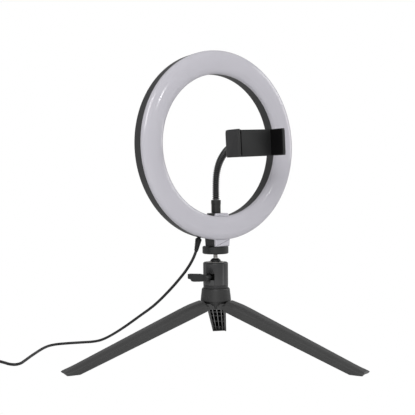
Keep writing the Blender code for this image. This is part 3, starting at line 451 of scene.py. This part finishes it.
def leg_low(r):
    """The height of the leg's underside."""
    if r < EYE_END:
        return PIVOT[1] - eye_rise(r)
    if r > TOE:
        return (r - TOE) / (TIP - TOE) * 2.6
    return max(0.0, (HEEL - r) * EYE_LOW / (HEEL - EYE_END))


def leg_high(r):
    """The height of the leg's top: a shallow slope by the hub runs softly into the steeper one."""
    if r <= EYE_END:
        return PIVOT[1] + eye_rise(r)
    near = 80.3 - (r - 22.8) * 0.25
    far = 4.0 + (TIP - r) * 0.3956 - 1.2 * max(0.0, (r - TOE) / (TIP - TOE)) ** 2
    return min(far, near) - 0.35 * max(0.0, 1 - abs(far - near) / 2.2) ** 2


def leg_section(r):
    """Half of the outer outline at this distance, from the bottom edge to the top's middle."""
    half, low, high = leg_half(r), leg_low(r), leg_high(r)
    tall = high - low
    flare = eased((r - 33.0) / 7.0)  # 0 in the drawn-in part by the hub, 1 beyond it
    half -= 0.3 * (1 - flare)
    drop = min(tall * 0.45, 3.4 + 2.6 * math.exp(-max(0.0, r - 40.0) / 40.0) * flare + 1.5 * (1 - flare))
    crease = 0.35 * flare
    draw = min(tall * 0.4, 3.6)
    return [
        (half, low), (half, low + (tall - drop) * 0.5), (half, high - drop - crease),
        (half - crease, high - drop + 0.15), (half - draw * 0.45, high - drop * 0.62),
        (half - draw, high - drop * 0.30), (half - draw * 1.6, high - drop * 0.08), (half - draw * 2.2, high),
        (0.0, high),
    ]


def make_leg():
    """The channel's walls with their ribs, along +X from the hub's axis."""
    outside, inside = [], []
    shell = bmesh.new()
    for r in LEG_STATIONS:
        half = leg_section(r)
        ring = [(-y, z) for y, z in half[:-1]] + half[::-1]
        outside.append([shell.verts.new((r, y, z)) for y, z in ring])
        if r > CHANNEL_END:
            continue
        low, high = leg_low(r), leg_high(r)
        drop = min((high - low) * 0.45, 5.0)
        wide = leg_half(r) - 3.2
        roof = max(low + 0.3, high - 3.0)
        inner = [
            (wide, low), (wide, low + (roof - low) * 0.4), (wide - 0.1, max(low + 0.2, roof - drop * 0.7)),
            (wide - 2.6, roof), (0.0, roof),
        ]
        ring = [(-y, z) for y, z in inner[:-1]] + inner[::-1]
        inside.append([shell.verts.new((r, y, z)) for y, z in ring])
    for rings in (outside, inside):
        for near, far in zip(rings, rings[1:]):
            for k in range(len(near) - 1):
                wall = shell.faces.new((near[k], near[k + 1], far[k + 1], far[k]))
                wall.material_index = int(rings is inside)
    # The channel's inner walls take the painted shade material.
    for k in range(len(inside) - 1):
        for end in (0, -1):
            shell.faces.new((outside[k][end], outside[k + 1][end], inside[k + 1][end], inside[k][end]))
    last = len(inside) - 1
    shell.faces.new(inside[last])
    shell.faces.new((*outside[0], *inside[0][::-1]))
    one_side, other_side = ([ring[end] for ring in outside[last:]] for end in (0, -1))
    shell.faces.new((*one_side, *other_side[::-1], inside[last][-1], inside[last][0]))
    shell.faces.new(outside[-1])
    line = (40.5, 80, 120, 160, 198.5)
    rib_outline = [(r, leg_low(r) + 0.9) for r in line] + [(r, leg_high(r) - 2.6) for r in line[::-1]]
    ribs = []
    for share in (-0.47, 0.0, 0.47):
        rib = prism(rib_outline, 0.45)
        for corner in rib.verts:
            corner.co.y += share * leg_half(corner.co.x)
        ribs.append(rib)
    for r in (40.7, 58.7, 85.7, 125.7, 170.7):
        low, high, wide = leg_low(r) + 1.1, leg_high(r) - 2.6, leg_half(r) - 2.5
        ribs.append(prism([(r - 0.6, low + 0.3), (r + 0.6, low - 0.2), (r + 0.6, high - 0.4), (r - 0.6, high)], wide))
    for rib in ribs:
        bmesh.ops.recalc_face_normals(rib, faces=rib.faces)
        for wall in rib.faces:
            # Rib faces take the painted shade material, and their lower edges the painted highlight.
            wall.material_index = 2 if wall.normal.z < -0.3 else 1
    return [shell, *ribs]


for leg_name, leg_angle in LEG_TURNS.items():
    around = Matrix.Rotation(math.radians(leg_angle), 4, "Z")
    moulding = piece(f"{leg_name}_moulding", [turn(s, around) for s in make_leg()], leg_nylon, leg_name, leg_name,
                     sharp=32, slot="grey_nylon")
    moulding.data.materials.append(painted_shade_nylon)  # inside the channel, painted near black as shade
    moulding.data.materials.append(painted_highlight_nylon)  # the ribs' lower edges, a painted highlight


# ---------------------------------------------------------------- ball head
# A moulded base and a plain round housing with a bright chamfered ring in its mouth; in it the ball with a
# domed collar, the quarter-inch stud and the flat lock disc under the lamp.

piece("base_ring", turned(rounded([(3.4, 97.3), (17.2, 97.3), (17.3, 101.4), (3.4, 101.4)], 0.25)), satin_abs,
      "tripod", "head_base", slot="grey_nylon")
shoulder = arc((15.1, 130.9), 2.3, range(0, 91, 15))
housing = piece(
    "housing",
    turned(
        [
            (3.4, 101.6), (17.2, 101.6), (17.4, 101.8), *shoulder, (12.9, 133.2), (12.7, 133.0), (12.7, 126.1),
            (9.2, 126.1), (9.2, 107.1), (3.4, 107.1),
        ]
    ),
    satin_abs,
    "tripod",
    "head_housing",
    slot="grey_nylon",
)
KNOB_HEIGHT, KNOB_BEARING = 113.5, 200.2
knob_line = Matrix.Translation((0, 0, KNOB_HEIGHT)) @ Matrix.Rotation(math.radians(KNOB_BEARING), 4, "Z")
along_knob = knob_line @ Matrix.Rotation(math.pi / 2, 4, "Y")
pocket = prism([(12.5, -4.4), (30.0, -4.4), (30.0, 4.4), (12.5, 4.4)], 6.0, 2.0)
# The knob's pocket is lined with painted shade.
cut(housing, turn(pocket, knob_line), lining=painted_shade_nylon)
cut(housing, turn(rod(2.7, 6, 30), along_knob))


def held(rise):
    """The radius of the seat round the ball, at this height over the ball's middle."""
    return math.sqrt(7.9**2 - rise**2)


piece(
    "bright_ring",
    turned(
        [
            (held(0.3), 126.4), (12.4, 126.4), (12.4, 133.5), (12.2, 133.7), (11.6, 133.7), (11.3, 133.4),
            (8.3, 130.3), (8.15, 130.0), (held(3.0), 129.0), (held(2.2), 128.2), (held(1.2), 127.2),
        ]
    ),
    bright_nickel,
    "tripod",
    "rim_ring",
    slot="bright_steel",
)
ball_arc = arc((0, 126), 7.6, range(-84, 61, 6))
stud = [(0, 118.4), *ball_arc, (3.175, 133.0)]
thread_top, pitch = 163.4, 1.27
level = 139.2
while level + pitch < thread_top:  # the stud's quarter-inch thread, drawn as rings
    stud += [(3.17, level), (2.62, level + 0.5 * pitch)]
    level += pitch
stud += [(3.17, level), (2.6, thread_top), (0, thread_top)]
piece("ball_and_stud", turned(stud, 64, closed=False), bright_nickel, "ball", "ball_stud", slot="bright_steel")
piece(
    "domed_collar",
    turned(
        rounded(
            [
                (3.5, 133.2), (5.5, 131.5), (5.6, 133.3), (7.35, 134.3), (7.3, 135.3), (6.4, 136.6), (4.6, 138.0),
                (3.5, 138.6),
            ],
            0.5,
        )
    ),
    dark_abs,
    "ball",
    "ball_collar",
    slot="black_abs",
)
piece(
    "locking_disc",
    turned(
        rounded(
            [(3.5, 144.8), (16.9, 144.8), (18.2, 145.9), (18.2, 154.2), (17.1, 155.3), (13.0, 155.3), (12.6, 155.1),
             (3.5, 155.1)],
            0.7,
        )
    ),
    dark_abs,
    "disc",
    "lock_disc",
    slot="black_abs",
)


# ---------------------------------------------------------------- clamp screw's lever
# A flat moulded lever on a round boss; its grip hangs lower in the middle.

LEVER_NEAR, LEVER_HALF = 21.9, 3.1  # its near side's distance from the stand's axis, and half its thickness
boss = soften(turn(rod(3.9, 16.2, 28.6, 64), Matrix.Rotation(math.pi / 2, 4, "Y")), 0.5)
lever_outline = rounded(
    [
        (-3.4, -3.6), (-1.0, -4.8), (8.0, -5.9), (18.6, -6.6), (21.8, -6.2), (24.2, -3.5), (28.4, -2.8), (28.4, 4.0),
        (24.0, 4.1), (10.5, 4.6), (3.0, 3.4), (-3.4, 2.6),
    ],
    1.2,
)
lever = soften(prism(lever_outline, LEVER_HALF, LEVER_NEAR + LEVER_HALF), 0.6)
lever = turn(lever, Matrix.Rotation(-math.pi / 2, 4, "Z"))
knob = piece("lever", [boss, lever], dark_abs, "knob", "clamp_knob", slot="black_abs")
knob.data.transform(TO_ROW @ knob_line @ TO_ROW.inverted())


# ---------------------------------------------------------------- ring lamp
# A charcoal shell behind and an opal, domed diffuser in front, with a thin shadow line between them, and a lug
# below and a boss inside that are split the same way.

RING_HEIGHT, RING_OUT, RING_IN, SEAM = 294.7, 130.0, 97.9, -13.3
MIDDLE = (RING_OUT + RING_IN) / 2
SEAM_GAP = 0.15  # from the seam's plane to either side of the shadow line
DIFFUSER_IN, DIFFUSER_WALL = 14.65, 1.4  # half the width of its hollow, and its thickness
upright = Matrix.Translation((0, SEAM, RING_HEIGHT)) @ Matrix.Rotation(math.pi / 2, 4, "X")


def opal_acrylic():
    """Milky acrylic: slightly violet grey when unlit, glossy, with soft drifts and very fine moulding ripple."""
    material, tree, shader = blank("opal_acrylic")
    place = add(tree, "ShaderNodeTexCoord").outputs["Object"]
    broad = add(tree, "ShaderNodeTexNoise", Vector=place, Scale=14.0, Detail=2.0)
    fine = add(tree, "ShaderNodeTexNoise", Vector=place, Scale=260.0, Detail=1.0)
    tree.links.new(drifting(tree, broad.outputs["Fac"], "cfcdd5", "d3d1d9"), shader.inputs["Base Color"])
    bump = add(tree, "ShaderNodeBump", Height=fine.outputs["Fac"], Strength=0.25, Distance=0.00004)
    tree.links.new(bump.outputs[0], shader.inputs["Normal"])
    shader.inputs["Roughness"].default_value = 0.11
    shader.inputs["Subsurface Weight"].default_value = 0.25
    shader.inputs["Subsurface Radius"].default_value = (0.004, 0.004, 0.004)
    shader.inputs["Subsurface Scale"].default_value = 1.0
    return material


opal = opal_acrylic()
half_dome = [
    (16.05, SEAM_GAP), (16.05, 2.6), (15.85, 3.7), (15.2, 4.9), (14.1, 5.9), (12.6, 6.75), (10.8, 7.45), (9.0, 8.0),
    (8.1, 8.22), (7.2, 8.36), (5.0, 8.6), (2.5, 8.76),
]
dome = [*half_dome, (0.0, 8.8), *[(-r, h) for r, h in half_dome[::-1]]]
inner_dome = [
    (max(-DIFFUSER_IN, min(DIFFUSER_IN, r)), max(SEAM_GAP, h - DIFFUSER_WALL)) for r, h in dome[-2:0:-1]
]
section = [*dome, (-DIFFUSER_IN, SEAM_GAP), *inner_dome, (DIFFUSER_IN, SEAM_GAP)]
diffuser_outline = [(MIDDLE + r, h) for r, h in section]


def split_block(low_half, high_half, seam_side, free_side, bottom, top, radius):
    """A lug or boss whose sides slant, with its free corners rounded and the face at the seam left flat."""
    outline = rounded([(-low_half, bottom), (low_half, bottom), (high_half, top), (-high_half, top)], 0.9)
    shape = prism(outline, abs(seam_side - free_side) / 2, (seam_side + free_side) / 2)
    bmesh.ops.recalc_face_normals(shape, faces=shape.faces)
    edges = [
        edge
        for edge in shape.edges
        if all(abs(v.co.y - seam_side) > 0.01 for v in edge.verts)
        and len(edge.link_faces) == 2
        and edge.calc_face_angle() > math.radians(60)
    ]
    bmesh.ops.bevel(shape, geom=edges, offset=radius, affect="EDGES", segments=4, profile=0.5, material=-1)
    return shape


piece(
    "diffuser",
    [
        turn(turned(diffuser_outline, 256), upright),
        split_block(11.55, 12.45, SEAM - SEAM_GAP, -17.4, 155.6, 166.0, 1.2),
        split_block(12.45, 10.45, SEAM - SEAM_GAP, -16.5, 196.2, 201.4, 1.0),
    ],
    opal, "lamp", "front_diffuser", sharp=32, slot="opal_acrylic",
)
shell_outline = rounded(
    [
        (RING_OUT, -SEAM_GAP), (RING_OUT - 0.9, -17.0), (RING_IN + 1.1, -17.0), (RING_IN, -SEAM_GAP),
        (RING_IN + 2.0, -SEAM_GAP), (RING_IN + 3.1, -15.0), (RING_OUT - 2.9, -15.0), (RING_OUT - 2.0, -SEAM_GAP),
    ],
    1.6,
    steps=5,
)
shell = piece(
    "back_shell", turn(turned(shell_outline, 256), upright), shell_abs, "lamp", "rear_shell", slot="black_abs"
)
for x, y in arc((0, 0), 105.1, (45, 135, 225, 315)):  # the shell screws' wells
    at = Matrix.Translation((x, y, 0))
    cut(shell, turn(turn(rod(2.7, -18.0, -15.9, 32), at), upright))
join(shell, [
    split_block(11.55, 12.45, SEAM + SEAM_GAP, 8.4, 155.6, 166.4, 1.2),
    split_block(12.45, 10.45, SEAM + SEAM_GAP, 5.5, 195.5, 201.4, 1.2),
])


# ---------------------------------------------------------------- strain relief
# A soft tapered sleeve with grooves round it, at the lamp's lower left.

RELIEF_TOP, RELIEF_END = Vector((-32.0, -4.8, 168.4)), Vector((-37.1, -4.8, 149.8))


def along(start, end):
    """The frame at the start whose Z points to the end."""
    return Matrix.Translation(start) @ (end - start).to_track_quat("Z", "Y").to_matrix().to_4x4()


reach = (RELIEF_END - RELIEF_TOP).length
relief = [(0, -4.4), (2.6, -4.4), (2.6, 0.9), (4.1, 1.1), (4.2, 2.6)]
level = 3.0
while level < reach - 2.4:
    wide = 4.7 - (level / reach) * 2.1
    relief += [(wide, level), (wide - 0.05, level + 1.5), (wide - 0.6, level + 1.6), (wide - 0.6, level + 2.1)]
    level += 2.2
relief += [(2.4, reach - 0.8), (2.25, reach), (0, reach)]
piece("strain_relief_sleeve", turn(turned(relief, 64, closed=False), along(RELIEF_TOP, RELIEF_END)), soft_rubber,
      "lamp", "strain_relief", slot="black_rubber")


# ---------------------------------------------------------------- goose-neck
# A ribbed, jacketed steel hose between two plain ferrules, made as fixed lengths that break half way between the
# frame's hinges.

HINGES = [Vector((0, -y, z)) for y, z in ((2.0, 224.8), (3.6, 254.0), (12.5, 273.8), (29.5, 288.8))]
SWIVEL_OUT = 60.5  # how far the clamp's ball joint is in front of the stand's axis
SWIVEL = Vector((0, -SWIVEL_OUT, 294.9))
RIB_PITCH, RIB_STEPS = 3.0, 8
HOSE_ROOT, HOSE_CREST, HOSE_SIDES = 3.5, 5.15, 40
ferrule = rounded(
    [
        (0, 195.5), (3.9, 195.5), (3.9, 201.7), (6.5, 201.7), (6.5, 213.5), (6.8, 214.0), (6.8, 219.0),
        (6.2, 219.8), (0, 219.8),
    ],
    0.4,
    closed=False,
)
piece("lower_ferrule", turn(turned(ferrule, 96, closed=False), Matrix.Translation((0, -2.0, 0))), dark_abs, "lamp",
      "hose_ferrule", slot="black_abs")

neck_route = [
    (0, -2.0, 220.0), (0, -2.0, 226.0), (0, -2.1, 240.0), (0, -3.4, 253.5), (0, -7.0, 265.0), (0, -13.2, 275.0),
    (0, -22.0, 283.6), (0, -30.5, 289.0), (0, -43.5, 291.6),
]


def even_line(line, spacing):
    """The same line with points at this spacing."""
    length = sum((b - a).length for a, b in zip(line, line[1:]))
    count = round(length / spacing)
    step, made, walked = length / count, [line[0]], 0.0
    for a, b in zip(line, line[1:]):
        span = (b - a).length
        while walked + span >= step * len(made) - 1e-9 and len(made) < count:
            made.append(a.lerp(b, (step * len(made) - walked) / span))
        walked += span
    return [*made, line[-1]]


def ribbed_hose(line):
    """A tube along a line in the YZ plane, with a rounded rib at each pitch."""
    shape, rings, side = bmesh.new(), [], Vector((1, 0, 0))
    angles = [math.tau * n / HOSE_SIDES for n in range(HOSE_SIDES)]
    for k, here in enumerate(line):
        tangent = (line[min(k + 1, len(line) - 1)] - line[max(k - 1, 0)]).normalized()
        out = tangent.cross(side)
        crest = 0.5 - 0.5 * math.cos(math.tau * k / RIB_STEPS)
        wide = HOSE_ROOT + (HOSE_CREST - HOSE_ROOT) * crest**0.8
        rings.append([shape.verts.new(here + (side * math.cos(a) + out * math.sin(a)) * wide) for a in angles])
    for near, far in zip(rings, rings[1:]):
        for n in range(HOSE_SIDES):
            m = (n + 1) % HOSE_SIDES
            shape.faces.new((near[n], near[m], far[m], far[n]))
    shape.faces.new(rings[0])
    shape.faces.new(rings[-1])
    return shape


neck = even_line(smooth_line(neck_route, 30), RIB_PITCH / RIB_STEPS)
neck = neck[: len(neck) - (len(neck) - 1) % RIB_STEPS]
breaks = [0]
for first, second in zip(HINGES, HINGES[1:]):
    half_way = (first + second) / 2
    nearest = min(range(len(neck)), key=lambda k: (neck[k] - half_way).length)
    breaks.append(round(nearest / RIB_STEPS) * RIB_STEPS)
breaks.append(len(neck) - 1)
hose_bodies = ["lamp", "hose_lower", "hose_middle", "hose_upper", "hose_end"]
for number, (first, last) in enumerate(zip(breaks, breaks[1:])):
    low, high = hose_bodies[number], hose_bodies[number + 1]
    line = neck[first : last + 1]
    hose = piece(f"hose_{number + 1}", ribbed_hose(line), hose_skin, None, slot="black_rubber", sharp=60)
    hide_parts(high)
    near, far = line[0].lerp(line[-1], 0.12), line[0].lerp(line[-1], 0.88)
    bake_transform(hose)

far = (SWIVEL - HINGES[-1]).length
end_arc = arc((0, far), 6, range(-66, 85, 6))
end_fitting = [
    (0, far - 17.2), (5.2, far - 17.2), (5.5, far - 16.8), (5.6, far - 10.2), (5.3, far - 9.8), (2.5, far - 8.8),
    (2.4, far - 5.6), *end_arc, (0, far + 6),
]
piece("upper_ferrule", turn(turned(end_fitting, 64, closed=False), along(HINGES[-1], SWIVEL)), nickel, "hose_end",
      "swivel_ball", slot="bright_steel")


# ---------------------------------------------------------------- phone clamp
# A black plastic clamp: a back plate with a fixed jaw at one side and a sprung jaw that slides out at the other,
# each with a rubber pad, on a small ball joint with a ribbed nut.

CLAMP_ROLL = -3.0
JAW_FRONT = 100.9  # how far the jaws reach in front of the stand's axis
clamp_frame = Matrix.Translation(SWIVEL) @ Matrix.Rotation(math.radians(CLAMP_ROLL), 4, "Y")


def box_shape(low, high, radius=0.0):
    """A block between two corners, its edges rounded where a radius is given."""
    shape = bmesh.new()
    bmesh.ops.create_cube(shape, size=1.0)
    size, middle = Vector(high) - Vector(low), (Vector(high) + Vector(low)) / 2
    bmesh.ops.scale(shape, vec=size, verts=shape.verts)
    bmesh.ops.translate(shape, vec=middle, verts=shape.verts)
    return soften(shape, radius) if radius else shape


def span(low_x, high_x, back, front, low_z, high_z, radius=0.0):
    """A block in the clamp's frame, by its distances in front of the stand's axis."""
    return box_shape((low_x, SWIVEL_OUT - front, low_z), (high_x, SWIVEL_OUT - back, high_z), radius)


def clamp_piece(name, shapes, material, body, *nodes, slot):
    """A piece from shapes given in the clamp's frame."""
    shapes = shapes if isinstance(shapes, list) else [shapes]
    return piece(name, [turn(shape, clamp_frame) for shape in shapes], material, body, *nodes, slot=slot)


def side_rounding(shape, half_tall, radius):
    """Rounds the two front corners of a jaw as seen from its side."""
    bmesh.ops.recalc_face_normals(shape, faces=shape.faces)
    edges = [
        edge
        for edge in shape.edges
        if all(abs(v.co.y - (SWIVEL_OUT - JAW_FRONT)) < 0.05 for v in edge.verts)
        and all(abs(abs(v.co.z) - half_tall) < 0.05 and abs(v.co.x) > 30 for v in edge.verts)
    ]
    bmesh.ops.bevel(shape, geom=edges, offset=radius, affect="EDGES", segments=5, profile=0.5, material=-1)
    return shape


def plan_shape(outline, low_z, high_z):
    """A block with this (x, forward) outline seen from above, its edges left sharp."""
    shape = prism(outline, (high_z - low_z) / 2, (low_z + high_z) / 2)
    for corner in shape.verts:
        corner.co = Vector((corner.co.x, SWIVEL_OUT - corner.co.z, corner.co.y))
    return shape


fixed_outline = [
    (-34.0, 71.6), (-32.6, 70.1), (40.6, 70.1), (41.6, 72.0), (41.6, JAW_FRONT), (38.0, JAW_FRONT), (36.6, 78.3),
    (-34.0, 78.3),
]
clamp_body = clamp_piece(
    "clamp_plate", soften(side_rounding(plan_shape(fixed_outline, -17.7, 17.7), 17.7, 2.5), 0.5), dark_abs,
    "holder", "clamp_body", slot="black_abs",
)
inset = turn(span(-31.5, 5.3, 69.0, 76.3, -12.3, 12.3), clamp_frame)
cut(clamp_body, inset)
cut(clamp_body, turn(span(-35.0, -30.0, 69.0, 76.3, -5.0, 5.0), clamp_frame))
jaw_outline = [
    (-39.2, 75.4), (-35.0, 69.8), (-34.3, 69.8), (-34.3, 88.0), (-35.4, JAW_FRONT), (-39.2, JAW_FRONT),
]
sliding_jaw = clamp_piece(
    "sliding_jaw", soften(side_rounding(plan_shape(jaw_outline, -17.8, 17.8), 17.8, 0.9), 0.6), dark_abs,
    "jaw", "clamp_jaw", slot="black_abs",
)
jaw_arms = [span(-35.0, 1.0, 70.6, 75.9, -4.7, 4.7, 0.3), span(-2.0, 5.0, 70.6, 75.9, -11.9, 11.9, 0.3)]
clamp_piece("jaw_arms", jaw_arms, dark_abs, "jaw", slot="black_abs")
SLANT = (0.8, 0.6)  # across the jaw's slanted back corner, in plan
for side in (-1, 1):
    corner_arc = arc((3.6, 14.2), 3.6, range(180, 89, -15))
    corner_cut = prism([(-2.0, 14.2), *corner_arc, (3.6, 19.0), (-2.0, 19.0)], 14.0, -80.0)
    for corner in corner_cut.verts:
        across, up_by = corner.co.x + 13.9, side * corner.co.z
        forward = SLANT[1] * across - SLANT[0] * corner.co.y
        corner.co = Vector((SLANT[0] * across + SLANT[1] * corner.co.y, SWIVEL_OUT - forward, up_by))
    cut(sliding_jaw, turn(corner_cut, clamp_frame))
for name, low_x, high_x, body, node in (
    ("fixed_pad", 34.8, 36.3, "holder", "pad_fixed"),
    ("sliding_pad", -34.2, -32.5, "jaw", "pad_sliding"),
):
    pad = span(low_x, high_x, 78.6, 99.6, -16.4, 16.9, 0.35)
    clamp_piece(name, pad, pad_rubber, body, node, slot="black_rubber")
facing = Matrix.Rotation(math.pi / 2, 4, "X")
cover_outline = [(-34.0, 69.8), (-33.4, 68.4), (-31.6, 67.7), (39.6, 67.7), (41.2, 68.4), (41.6, 69.8)]
cover_plate = soften(plan_shape(cover_outline, -17.7, 17.7), 0.5)
collar = turn(turned(rounded([(6.5, -1.2), (8.2, -1.2), (8.2, 7.6), (6.5, 7.6)], 0.4), 96), facing)
cover = clamp_piece("clamp_back_cover", cover_plate, dark_abs, "holder", "clamp_cover", slot="black_abs")
for height in (9.5, -9.5):
    well = turn(turn(rod(2.8, 5.0, 8.2, 32), facing), Matrix.Translation((19.0, 0, height)))
    cut(cover, turn(well, clamp_frame))
join(cover, turn(collar, clamp_frame))
NUT_RIBS = 24
nut = turned(
    [
        (8.5, 6.8), (10.2, 6.8), (10.5, 6.3), (10.5, -3.7), (10.0, -4.4), (9.2, -5.0), (5.2, -5.0), (4.9, -4.2),
        (6.3, -1.7), (8.5, -1.6),
    ],
    NUT_RIBS * 4,
)
for corner in nut.verts:  # the nut's grip ribs
    wide = corner.co.xy.length
    if wide > 10.1:
        swing = math.atan2(corner.co.y, corner.co.x)
        corner.co.xy = corner.co.xy.normalized() * (wide - 0.45 * (0.5 + 0.5 * math.cos(NUT_RIBS * swing)))
clamp_piece("swivel_nut_ribbed", turn(nut, facing), dark_abs, "holder_swivel", "swivel_nut", slot="black_abs")


# ---------------------------------------------------------------- in-line controller and plug
# A small two-part box with four push buttons, and a USB plug with a metal shield on the cord's end.


control_at = Matrix.Translation((-296.0, 226.0, 0))
lower = piece("controller_base", turn(box_shape((-31, -10.5, 0.02), (31, 10.5, 5.05), 1.4), control_at), dark_abs,
              "tripod", "control_base", slot="black_abs")
cut(lower, turn(box_shape((-29, -8.7, 1.6), (29, 8.7, 20)), control_at))
lid = piece("controller_cover", turn(box_shape((-31, -10.5, 5.35), (31, 10.5, 10.4), 1.4), control_at), dark_abs,
            "tripod", "control_cover", slot="black_abs")
cut(lid, turn(box_shape((-29, -8.7, -10), (29, 8.7, 8.8)), control_at))
BUTTONS = ["button_power", "button_colour", "button_brighter", "button_dimmer"]
for number, name in enumerate(BUTTONS):
    at = control_at @ Matrix.Translation(((number - 1.5) * 12.2, 0, 0))
    cut(lid, turn(rod(3.7, 6.4, 14.4, 64), at))
    cap = rounded(
        [(0, 4.8), (4.3, 4.8), (4.3, 7.5), (3.5, 7.5), (3.5, 11.4), (2.9, 11.7), (0, 11.5)], 0.3, closed=False
    )
    piece(f"{name}_cap", turn(turned(cap, 64, closed=False), at), soft_rubber, name, name, slot="black_rubber")
plug_at = Matrix.Translation((-292.0, 250.0, 0))
grip_shapes = [box_shape((-6.0, -6.2, 0.4), (24.0, 6.2, 8.4), 1.3)]
for k in range(5):  # the grip's ribs
    grip_shapes.append(box_shape((11.0 + 2.2 * k, -6.35, 2.4), (12.0 + 2.2 * k, 6.35, 6.4), 0.3))
piece("plug_grip", [turn(shape, plug_at) for shape in grip_shapes], dark_abs, "tripod", "usb_plug", slot="black_abs")
shield = piece("plug_shield", turn(box_shape((-18.1, -6.0, 2.1), (-6.3, 6.0, 6.6), 0.3), plug_at), nickel, "tripod",
               "usb_shield", slot="bright_steel")
cut(shield, turn(box_shape((-18.8, -5.6, 2.5), (-7.3, 5.6, 6.2)), plug_at))


# ---------------------------------------------------------------- small parts that keep the frame's own shape
# Screws, hinge pins, guide rods, springs, the threaded insert, the two boards, the cup under the ball and the
# cord's tie: mostly hidden, and each in its own real finish.

KEPT = {
    nickel: [
        "hub_screw", "leg_left_pin", "leg_front_pin", "leg_back_pin", "clamp_screw", "shell_screw_1", "shell_screw_2",
        "shell_screw_3", "shell_screw_4", "guide_rod_1", "guide_rod_2", "clamp_spring_1", "clamp_spring_2",
        "cover_screw_1", "cover_screw_2",
    ],
    turned_brass: ["thread_insert"],
    white_mask: ["led_board", "control_board"],
    bearing_acetal: ["ball_cup"],
    soft_rubber: ["cord_tie"],
}
for finish, names in KEPT.items():
    for name in names:
        for place in frame["nodes"][name].material_slots:
            place.material = finish


# ---------------------------------------------------------------- floor and light
# A plain white paper sweep in an even white studio, lit by a large key on the left, a fill on the right and a
# narrow strip in front.

floor_mesh = bpy.data.meshes.new("floor")
floor_shape = bmesh.new()
bmesh.ops.create_grid(floor_shape, x_segments=1, y_segments=1, size=12.0)
floor_shape.to_mesh(floor_mesh)
floor_shape.free()
floor = bpy.data.objects.new("floor", floor_mesh)
bpy.context.collection.objects.link(floor)
paper, paper_tree, paper_shader = blank("white_paper_sweep")
paper_grain = add(paper_tree, "ShaderNodeTexNoise", Scale=600.0, Detail=2.0)
paper_tone = add(paper_tree, "ShaderNodeMapRange", Value=paper_grain.outputs["Fac"], _3=0.90, _4=0.93)
paper_tree.links.new(paper_tone.outputs[0], paper_shader.inputs["Base Color"])
paper_shader.inputs["Roughness"].default_value = 0.9
paper_shader.inputs["Specular IOR Level"].default_value = 0.0
paper_seen = add(paper_tree, "ShaderNodeLightPath").outputs["Is Camera Ray"]
paper_glow = add(paper_tree, "ShaderNodeEmission", Color=(1, 1, 1, 1), Strength=1.0)
paper_mix = add(
    paper_tree, "ShaderNodeMixShader", _0=paper_seen, _1=paper_shader.outputs[0], _2=paper_glow.outputs[0]
)
paper_tree.links.new(paper_mix.outputs[0], paper_tree.nodes["Material Output"].inputs["Surface"])
floor_mesh.materials.append(paper)

world = bpy.data.worlds.new("white_studio")
bpy.context.scene.world = world
world.use_nodes = True
world.node_tree.nodes["Background"].inputs["Color"].default_value = (1, 1, 1, 1)
seen = add(world.node_tree, "ShaderNodeLightPath").outputs["Is Camera Ray"]
glow = add(world.node_tree, "ShaderNodeMapRange", Value=seen, _3=0.42, _4=1.0)
world.node_tree.links.new(glow.outputs[0], world.node_tree.nodes["Background"].inputs["Strength"])


def softbox(name, place, target, size, power):
    """A rectangular lamp that faces its target."""
    light = bpy.data.lights.new(name, "AREA")
    light.shape, light.size, light.size_y, light.energy = "RECTANGLE", size[0], size[1], power
    made = bpy.data.objects.new(name, light)
    bpy.context.collection.objects.link(made)
    made.location = Vector(place)
    made.rotation_euler = (Vector(target) - Vector(place)).to_track_quat("-Z", "Y").to_euler()


softbox("key_softbox", (-1.1, -1.3, 1.2), (0, 0, 0.2), (0.9, 0.9), 16.0)
softbox("right_softbox", (1.5, -0.4, 0.7), (0, 0, 0.15), (0.6, 0.9), 4.0)
softbox("strip_light", (0.55, -1.35, 0.66), (0, 0, 0.3), (0.03, 0.10), 0.4)
bpy.context.scene.view_settings.view_transform = "Standard"
